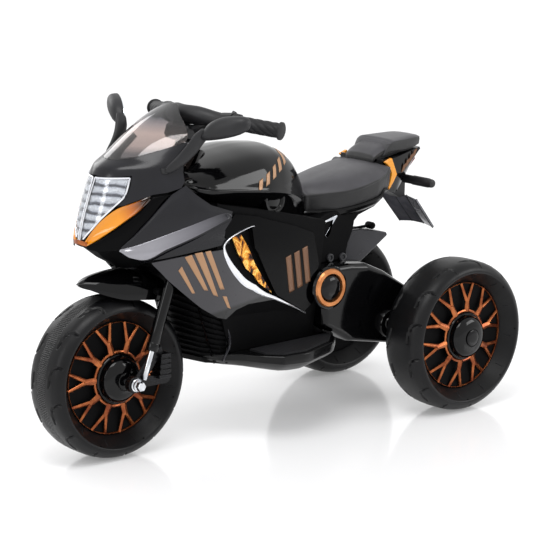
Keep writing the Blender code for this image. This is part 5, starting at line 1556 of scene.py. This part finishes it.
def makeRadiator():
    def around(t, v):
        front = radiator["front"] + (radiator["frontLow"] - radiator["front"]) * v
        line = [radiator["rear"], (front - 0.040, radiator["corner"]), (front - 0.012, 0.056), (front, 0.0)]
        x, y = edgeAt(line, t, False)
        top = min(0.325, 0.266 + 0.62 * (x - 0.162))
        return x, y, top + (0.1640 - top) * v

    def place(u, v):
        t = 1 - abs(2 * u - 1)
        x, y, z = around(t, v)
        side = 1 if u < 0.5 else -1
        fin = radiator["finDepth"] * (1 - (v * radiator["fins"]) % 1.0) if v < 1 else 0.0
        turn = radians(90) * (1 - softStep(t, 0.25, 0.75))
        return Vector((x - radiator["finDepth"] * cos(turn) + fin * cos(turn),
                       side * (y - 0.004 * sin(turn) + fin * sin(turn)), z))

    bm = bmesh.new()
    mapGrid(bm, 48, radiator["fins"] * 8, place)
    addPiece("radiator_skin", bm, "shadedInnerPp", "chassis", stands=("radiator_grille",), wall=0.0020,
             sharp=30)
    for word, side in sides:
        bm = bmesh.new()
        for t in (0.04, 0.50):
            for k in range(6):
                a, b = around(t, k / 6), around(t, (k + 1) / 6)
                out = Vector((0.5, side * 0.86, 0.0))
                limb(bm, Vector((a[0], side * a[1], a[2])) + out * 0.001,
                     Vector((b[0], side * b[1], b[2])) + out * 0.001,
                     0.0030, 0.0030, 0.0030, out)
        addPiece(f"radiator_posts_{word}", bm, "glossAbs", "chassis")
        bm = bmesh.new()
        line = [(x, side * y, z) for x, y, z in radiator["strip"]]
        for k in range(16):
            a, b = edgeAt(line, k / 16, True), edgeAt(line, (k + 1) / 16, True)
            limb(bm, a, b, 0.0024, 0.0024, 0.0030, (0.35, side * 0.9, 0.1))
        addPiece(f"radiator_edge_{word}", bm, "satinAbs", "chassis")


makeRadiator()
print("radiator made")


# Front fork: black covers over bright rods, the axle eyes, and a brake caliper on a bracket beside each
fork = {
    "track": 0.0860, "coverTop": 0.3540, "coverEnd": 0.2300, "back": 0.0020, "rodEnd": 0.1640,
    "bracket": ((0.3780, 0.1500), (0.2960, 0.1480), (0.2880, 0.1560), (0.2980, 0.1640), (0.3420, 0.1700),
                (0.3060, 0.2140),
                (0.3080, 0.2240), (0.3300, 0.2200), (0.3700, 0.1760)),
}


def makeFork(word, side):
    y = side * fork["track"]
    bm = bmesh.new()
    capsule(bm, steerPoint(fork["coverEnd"] - 0.010, fork["back"], y), steerPoint(fork["coverTop"], fork["back"], y),
            0.0118, 0.5)
    capsule(bm, steerPoint(fork["coverEnd"] - 0.012, fork["back"], y),
            steerPoint(fork["coverEnd"] + 0.006, fork["back"], y), 0.0130, 0.3)
    addPiece(f"fork_cover_{word}", bm, "glossAbs", "steering", stands=(f"fork_leg_{word}",),
             recalculate=False)
    bm = bmesh.new()
    capsule(bm, steerPoint(fork["rodEnd"], fork["back"], y), steerPoint(fork["coverEnd"] + 0.004, fork["back"], y),
            0.0058, 0.5)
    addPiece(f"fork_rod_{word}", bm, "brightSteel", "steering", recalculate=False)
    bm = bmesh.new()
    eye = [(0.0066, -0.0085), (0.0150, -0.0085), (0.0165, -0.0070), (0.0165, 0.0070), (0.0150, 0.0085),
           (0.0066, 0.0085), (0.0066, -0.0085)]
    spun(bm, [(r, a * side) for r, a in eye], (0.378, side * 0.084, 0.160), steps=40)
    bmesh.ops.recalc_face_normals(bm, faces=bm.faces[:])
    plate(bm, fork["bracket"], side * 0.0790, side * 0.0830)
    addPiece(f"fork_foot_{word}", bm, "forkMetal", "steering", bevel=0.0008)
    bm = bmesh.new()
    for k in range(5):
        low = 0.1600 + 0.0105 * k
        plate(bm, ((0.2930, low), (0.2930, low + 0.0075), (0.3220 - 0.0015 * k, low + 0.0090),
                   (0.3220 - 0.0015 * k, low + 0.0015)),
              side * 0.0640, side * 0.0930)
    plate(bm, ((0.2970, 0.1610), (0.2970, 0.2080), (0.3150, 0.2080), (0.3180, 0.1630)), side * 0.0660, side * 0.0900)
    addPiece(f"brake_caliper_{word}", bm, "forkMetal", "steering", bevel=0.0012)
    bm = bmesh.new()
    capsule(bm, (0.378, side * 0.0925, 0.160), (0.378, side * 0.1130, 0.160), 0.0096, 0.2, 6)
    capsule(bm, (0.378, side * 0.0925, 0.160), (0.378, side * 0.0970, 0.160), 0.0130, 0.2, 32)
    addPiece(f"axle_nut_{word}", bm, "brightSteel", "steering", recalculate=False, bevel=0.0005)


for word, side in sides:
    makeFork(word, side)

# Front mudguard: a beak with drooping sides, given as x, half width, edge height and crown height
mudguard = (
    (0.4470, 0.0040, 0.3515, 0.3545), (0.4300, 0.0220, 0.3420, 0.3620), (0.4050, 0.0370, 0.3310, 0.3675),
    (0.3700, 0.0500, 0.3200, 0.3705), (0.3300, 0.0575, 0.3150, 0.3690), (0.2900, 0.0610, 0.3100, 0.3590),
    (0.2660, 0.0590, 0.3040, 0.3470), (0.2550, 0.0450, 0.2980, 0.3260),
)


def makeMudguard():
    bm = bmesh.new()

    def place(u, v):
        x, half, edge, crown = edgeAt(list(mudguard), v, True)
        t = 2 * u - 1
        rise = (crown - edge) * cos(t * pi / 2) ** 0.8 if abs(t) < 1 else 0.0
        return Vector((x, half * sin(t * pi / 2), edge + rise))

    mapGrid(bm, 32, 48, place)
    addPiece("mudguard_skin", bm, "glossAbs", "steering", stands=("front_fender",), wall=0.0026,
             bevel=0.0008)
    bm = bmesh.new()
    for side in (1, -1):
        capsule(bm, (0.3025, side * 0.0560, 0.3290), (0.3025, side * 0.0745, 0.3290), 0.0070, 0.3)
    addPiece("mudguard_lugs", bm, "shadedInnerPp", "steering", recalculate=False)


makeMudguard()
print("fork and mudguard made")


# Mirrors: a blade-like arm that rises from the cowl into a leaf-shaped head
mirrorPlan = {
    "arm": ((0.3050, 0.0950, 0.5690), (0.2920, 0.1032, 0.5790), (0.2720, 0.1104, 0.5950), (0.2560, 0.1175, 0.6130),
            (0.2450, 0.1260, 0.6320), (0.2350, 0.1400, 0.6480)),
    "wide": (0.0060, 0.0098, 0.0128, 0.0145, 0.0150, 0.0120), "thin": (0.0040, 0.0046, 0.0050, 0.0058, 0.0066, 0.0066),
    "inner": (0.2440, 0.1290, 0.6460), "outer": (0.1980, 0.2180, 0.6635), "halfHeight": 0.0205,
    "outline": ((-1.00, -0.62), (-0.86, 0.10), (-0.60, 0.72), (-0.15, 1.02), (0.45, 0.98), (0.88, 0.70), (1.02, 0.15),
                (0.92, -0.45), (0.55, -0.82), (0.00, -0.98), (-0.55, -1.00), (-0.90, -0.90)),
    "boss": ((0.3020, 0.0885, 0.5640), (0.3020, 0.0885, 0.5765), 0.0085),
    "head": ((0.90, -0.0074), (0.97, -0.0078), (1.0, -0.0060), (1.0, -0.0010), (0.97, 0.0050), (0.88, 0.0100),
             (0.72, 0.0138), (0.50, 0.0162), (0.25, 0.0174), (0.05, 0.0178)),
    "glass": ((0.02, -0.0098), (0.84, -0.0098), (0.87, -0.0092), (0.87, -0.0070), (0.02, -0.0070)),
}


def frameAlong(line, v, reference):
    # The place on a curved line, and the two ways across it there.
    here, before, after = (Vector(edgeAt(line, min(1.0, max(0.0, v + step)), True)) for step in (0.0, -0.02, 0.02))
    across = (after - before).normalized().cross(Vector(reference)).normalized()
    return here, across, across.cross((after - before).normalized()).normalized()


def makeMirror(word, side):
    def onSide(point):
        return Vector((point[0], side * point[1], point[2]))

    bm = bmesh.new()
    line = [onSide(p) for p in mirrorPlan["arm"]]

    def place(u, v):
        here, across, out = frameAlong(line, v, (0, side, 0))
        wide, thin = (float(np.interp(v, np.linspace(0, 1, 6), mirrorPlan[key])) for key in ("wide", "thin"))
        ends = 0.25 + 0.75 * softStep(v, -0.01, 0.06) * softStep(v, 1.01, 0.94)
        return here + (across * cos(2 * pi * u) * wide + out * sin(2 * pi * u) * thin) * ends

    mapGrid(bm, 28, 40, place, close=True)
    closeHoles(bm)
    bmesh.ops.recalc_face_normals(bm, faces=bm.faces[:])
    # A round boss about the folding axis joins the arm to the cowl at every angle.
    bossLow, bossTop, bossRadius = mirrorPlan["boss"]
    capsule(bm, onSide(bossLow), onSide(bossTop), bossRadius, 0.5)
    inner, outer = onSide(mirrorPlan["inner"]), onSide(mirrorPlan["outer"])
    centre, across = (inner + outer) / 2, (outer - inner).normalized()
    halfLength = (outer - inner).length / 2
    up = Vector((0, 0, 1))
    forward = across.cross(up).normalized() * side
    closed = list(mirrorPlan["outline"]) + [mirrorPlan["outline"][0]]

    def closedForm(bm, rings):
        # Rings of one outline, each with its own scale and depth.
        def place(u, v):
            a, b = edgeAt(closed, u, True)
            scale, depth = rings[int(round(v * (len(rings) - 1)))]
            return centre + (across * a * halfLength + up * b * mirrorPlan["halfHeight"]) * scale + forward * depth

        mapGrid(bm, 60, len(rings) - 1, place, close=True)
        closeHoles(bm)

    head = bmesh.new()
    closedForm(head, mirrorPlan["head"])
    addPart(bm, head)
    addPiece(f"mirror_skin_{word}", bm, "grainedPp", f"mirror_{word}", stands=(f"mirror_{word}",),
             recalculate=False)
    bm = bmesh.new()
    closedForm(bm, mirrorPlan["glass"])
    addPiece(f"mirror_face_{word}", bm, "mirrorFilm", f"mirror_{word}",
             stands=(f"mirror_glass_{word}",))


for word, side in sides:
    makeMirror(word, side)
print("mirrors made")


# Bars: a thick moulded cover over the clamp, spiral-ribbed grips with end flanges, and switch pods
bars = {
    "cover": ((0.1480, 0.0920, 0.6490), (0.1590, 0.0640, 0.6520), (0.1760, 0.0340, 0.6580), (0.1870, 0.0, 0.6590)),
    "coverHalf": (0.0150, 0.0165, 0.0185, 0.0190), "gripStart": (0.1420, 0.1080, 0.6495),
    "gripEnd": (0.1030, 0.2017, 0.6400),
    "gripRadius": 0.0140, "flange": 0.0178, "flangeEdge": 0.0160, "ribTall": 0.0011, "spirals": 7, "twist": 2.6,
}


def makeBarCover():
    bm = bmesh.new()
    half = [Vector(p) for p in bars["cover"]]
    line = half + [Vector((p.x, -p.y, p.z)) for p in reversed(half[:-1])]
    sizes = list(bars["coverHalf"]) + list(reversed(bars["coverHalf"][:-1]))

    def place(u, v):
        here, across, up = frameAlong(line, v, (0, 0, 1))
        ends = 0.55 + 0.45 * softStep(v, 0.0, 0.03) * softStep(v, 1.0, 0.97)
        size = float(np.interp(v, np.linspace(0, 1, len(sizes)), sizes)) * ends
        return here + (across * cos(2 * pi * u) + up * sin(2 * pi * u)) * size

    mapGrid(bm, 32, 72, place, close=True)
    closeHoles(bm)
    addPiece("bar_cover", bm, "grainedPp", "steering")


def makeGrip(word, side):
    bm = bmesh.new()
    start, end = (Vector((p[0], side * p[1], p[2])) for p in (bars["gripStart"], bars["gripEnd"]))
    way = (end - start).normalized()
    across = way.cross(Vector((0, 0, 1))).normalized()
    up = across.cross(way).normalized()
    length = (end - start).length

    def radiusAt(at, turn):
        if at < 0.006 or at > length - 0.0045:
            return bars["flange"]
        if at < 0.008 or at > length - 0.0065:
            return bars["gripRadius"]
        inside = softStep(at, 0.008, 0.014) * softStep(at, length - 0.0065, length - 0.0125)
        rib = abs(sin(bars["spirals"] * 0.5 * turn + 2 * pi * bars["twist"] * side * at / length))
        return bars["gripRadius"] + bars["ribTall"] * inside * rib

    def place(u, v):
        at = length * v
        radius = bars["flangeEdge"] if v in (0.0, 1.0) else radiusAt(at, 2 * pi * u)
        return start + way * at + (across * cos(2 * pi * u) + up * sin(2 * pi * u)) * radius

    mapGrid(bm, 112, 96, place, close=True)
    closeHoles(bm)
    addPiece(f"grip_skin_{word}", bm, "gripRubber", "steering", stands=(f"grip_{word}",))
    bm = bmesh.new()
    spot = Vector((0.1330, side * 0.1090, 0.6490))
    capsule(bm, spot + Vector((0.004, 0, -0.024)), spot + Vector((-0.002, 0, 0.016)), 0.0062, 0.6)
    capsule(bm, Vector((0.1480, side * 0.0880, 0.6480)), Vector((0.1395, side * 0.1065, 0.6480)), 0.0190, 0.3)
    addPiece(f"switch_pod_{word}", bm, "switchAbs", "steering", recalculate=False)


makeBarCover()
for word, side in sides:
    makeGrip(word, side)
print("bars made")


# Strut under the seat and the silencer beside it
strut = {
    "outline": ((-0.0756, 0.4090), (-0.0756, 0.3280), (-0.1800, 0.3280), (-0.1790, 0.3450), (-0.1840, 0.3620),
                (-0.1960, 0.3850), (-0.2010, 0.4060), (-0.2120, 0.4165), (-0.2560, 0.4290),
                (-0.2800, 0.4440), (-0.2893, 0.4605), (-0.2680, 0.4500), (-0.2250, 0.4440), (-0.1750, 0.4360),
                (-0.1250, 0.4320),
                (-0.1000, 0.4230), (-0.0760, 0.4240)),
    "half": 0.078,
    "silencer": ((-0.2700, 0.3460), (-0.2620, 0.3220), (-0.3050, 0.2840), (-0.3380, 0.2690), (-0.3560, 0.2740),
                 (-0.4330, 0.3210), (-0.4300, 0.3280), (-0.3900, 0.3380), (-0.3500, 0.3460)),
    "knob": (-0.3940, -0.0850, 0.3460),
}
bm = bmesh.new()
plate(bm, strut["outline"], -strut["half"], strut["half"])
addPiece("strut_skin", bm, "shadedInnerPp", "chassis", stands=("seat_strut",), bevel=0.004, segments=3)
bm = bmesh.new()
plate(bm, strut["silencer"], -0.1240, -0.0700)
capsule(bm, (-0.1985, -0.0600, 0.3560), (-0.3000, -0.0920, 0.3220), 0.0120, 0.3)
addPiece("silencer_skin", bm, "satinAbs", "chassis", stands=("silencer",), bevel=0.0090, segments=4)
bm = bmesh.new()
knob = Vector(strut["knob"])
capsule(bm, (-0.3300, knob.y, 0.3450), knob, 0.0032, 0.5)
capsule(bm, knob - Vector((0, 0.011, 0)), knob + Vector((0, 0.011, 0)), 0.0078, 0.5)
addPiece("silencer_knob", bm, "shadedInnerPp", "chassis", recalculate=False)
print("strut and silencer made")


# Printed stripes, each a thin film with slanted ends, given by its corners as x and height
stripes = {
    "slashes": (((0.2760, 0.4020), (0.2620, 0.4060), (0.2200, 0.3280), (0.2290, 0.3300)),
                ((0.2560, 0.4080), (0.2400, 0.4090), (0.1960, 0.3120), (0.2080, 0.3180)),
                ((0.2340, 0.4090), (0.2220, 0.4100), (0.1830, 0.3260), (0.1930, 0.3270)),
                ((0.2860, 0.3760), (0.2800, 0.3840), (0.2480, 0.3260), (0.2540, 0.3260)),
                ((0.1860, 0.3120), (0.1760, 0.3100), (0.1640, 0.2830), (0.1720, 0.2870))),
    "bars": (((0.0330, 0.3700), (0.0190, 0.3740), (-0.0010, 0.2960), (0.0130, 0.2920)),
             ((0.0110, 0.3760), (-0.0030, 0.3800), (-0.0230, 0.3020), (-0.0090, 0.2980)),
             ((-0.0110, 0.3820), (-0.0250, 0.3860), (-0.0440, 0.3080), (-0.0310, 0.3040))),
    "tank": {"count": 6, "from": (0.0960, 0.5060), "to": (-0.0240, 0.5560), "wide": 0.0120, "tall": 0.0230,
             "lean": 0.0070},
    "tail": ((0.0, 0.0), (-0.0080, 0.0050), (-0.0140, 0.0190), (-0.0060, 0.0150)), "film": 0.0004, "proud": 0.0007,
}


def bodyStripe(bm, corners, side):
    def place(u, v):
        top = [(1 - u) * p + u * q for p, q in zip(corners[0], corners[1])]
        low = [(1 - u) * p + u * q for p, q in zip(corners[3], corners[2])]
        x, z = ((1 - v) * p + v * q for p, q in zip(top, low))
        return onBody(sweepAt(x, z), z, side, stripes["proud"])

    addFilm(bm, 4, 20, place, side)


def addFilm(bm, across, along, place, side):
    # One stripe, turned so that its face looks away from the toy.
    part = bmesh.new()
    mapGrid(part, across, along, place)
    bmesh.ops.recalc_face_normals(part, faces=part.faces[:])
    if part.faces[:][0].normal.y * side < 0:
        bmesh.ops.reverse_faces(part, faces=part.faces[:])
    addPart(bm, part, recalculate=False)


def tankPoint(x, z, side, out):
    # The tank's surface at this place and height, moved out a little.
    section = tankSection(x)
    low, high = 0.34, 0.98
    for step in range(24):
        middle = (low + high) / 2
        if edgeAt(section, middle, True)[1] < z:
            low = middle
        else:
            high = middle
    y, height = edgeAt(section, low, True)
    y2, height2 = edgeAt(section, low + 0.01, True)
    way = Vector((0.0, height2 - height, y - y2)).normalized()
    return Vector((x, side * (y + way.y * out), height + way.z * out))


def makeStripes(word, side):
    for name, key, finish in (("panel_slashes", "slashes", "copperFilm"), ("side_bars", "bars", "bronzeFilm")):
        bm = bmesh.new()
        for corners in stripes[key]:
            bodyStripe(bm, corners, side)
        addPiece(f"{name}_{word}", bm, finish, "chassis", wall=stripes["film"], recalculate=False)
    bm = bmesh.new()
    row = stripes["tank"]
    for k in range(row["count"]):
        at = k / (row["count"] - 1)
        x0 = row["from"][0] + (row["to"][0] - row["from"][0]) * at
        z0 = row["from"][1] + (row["to"][1] - row["from"][1]) * at
        limit = tankSection(x0)[10][1] - 0.006

        def place(u, v):
            z = min(z0 + row["tall"] * v + 0.0045 * u, limit)
            return tankPoint(x0 - row["wide"] * u - row["lean"] * v, z, side, stripes["proud"])

        addFilm(bm, 5, 8, place, side)
    addPiece(f"tank_bars_{word}", bm, "copperFilm", "chassis", wall=stripes["film"], recalculate=False)
    bm = bmesh.new()
    for k in range(4):
        x, z = -0.3480 - 0.0135 * k, 0.4880 + 0.0085 * k
        half = float(np.interp(-x, [-p for p in tail["x"]], tail["half"]))
        plate(bm, [(x + a, z + b) for a, b in stripes["tail"]], side * (half - 0.001), side * (half + 0.0008))
    addPiece(f"tail_bars_{word}", bm, "bronzeFilm", "chassis")


for word, side in sides:
    makeStripes(word, side)
print("stripes made")
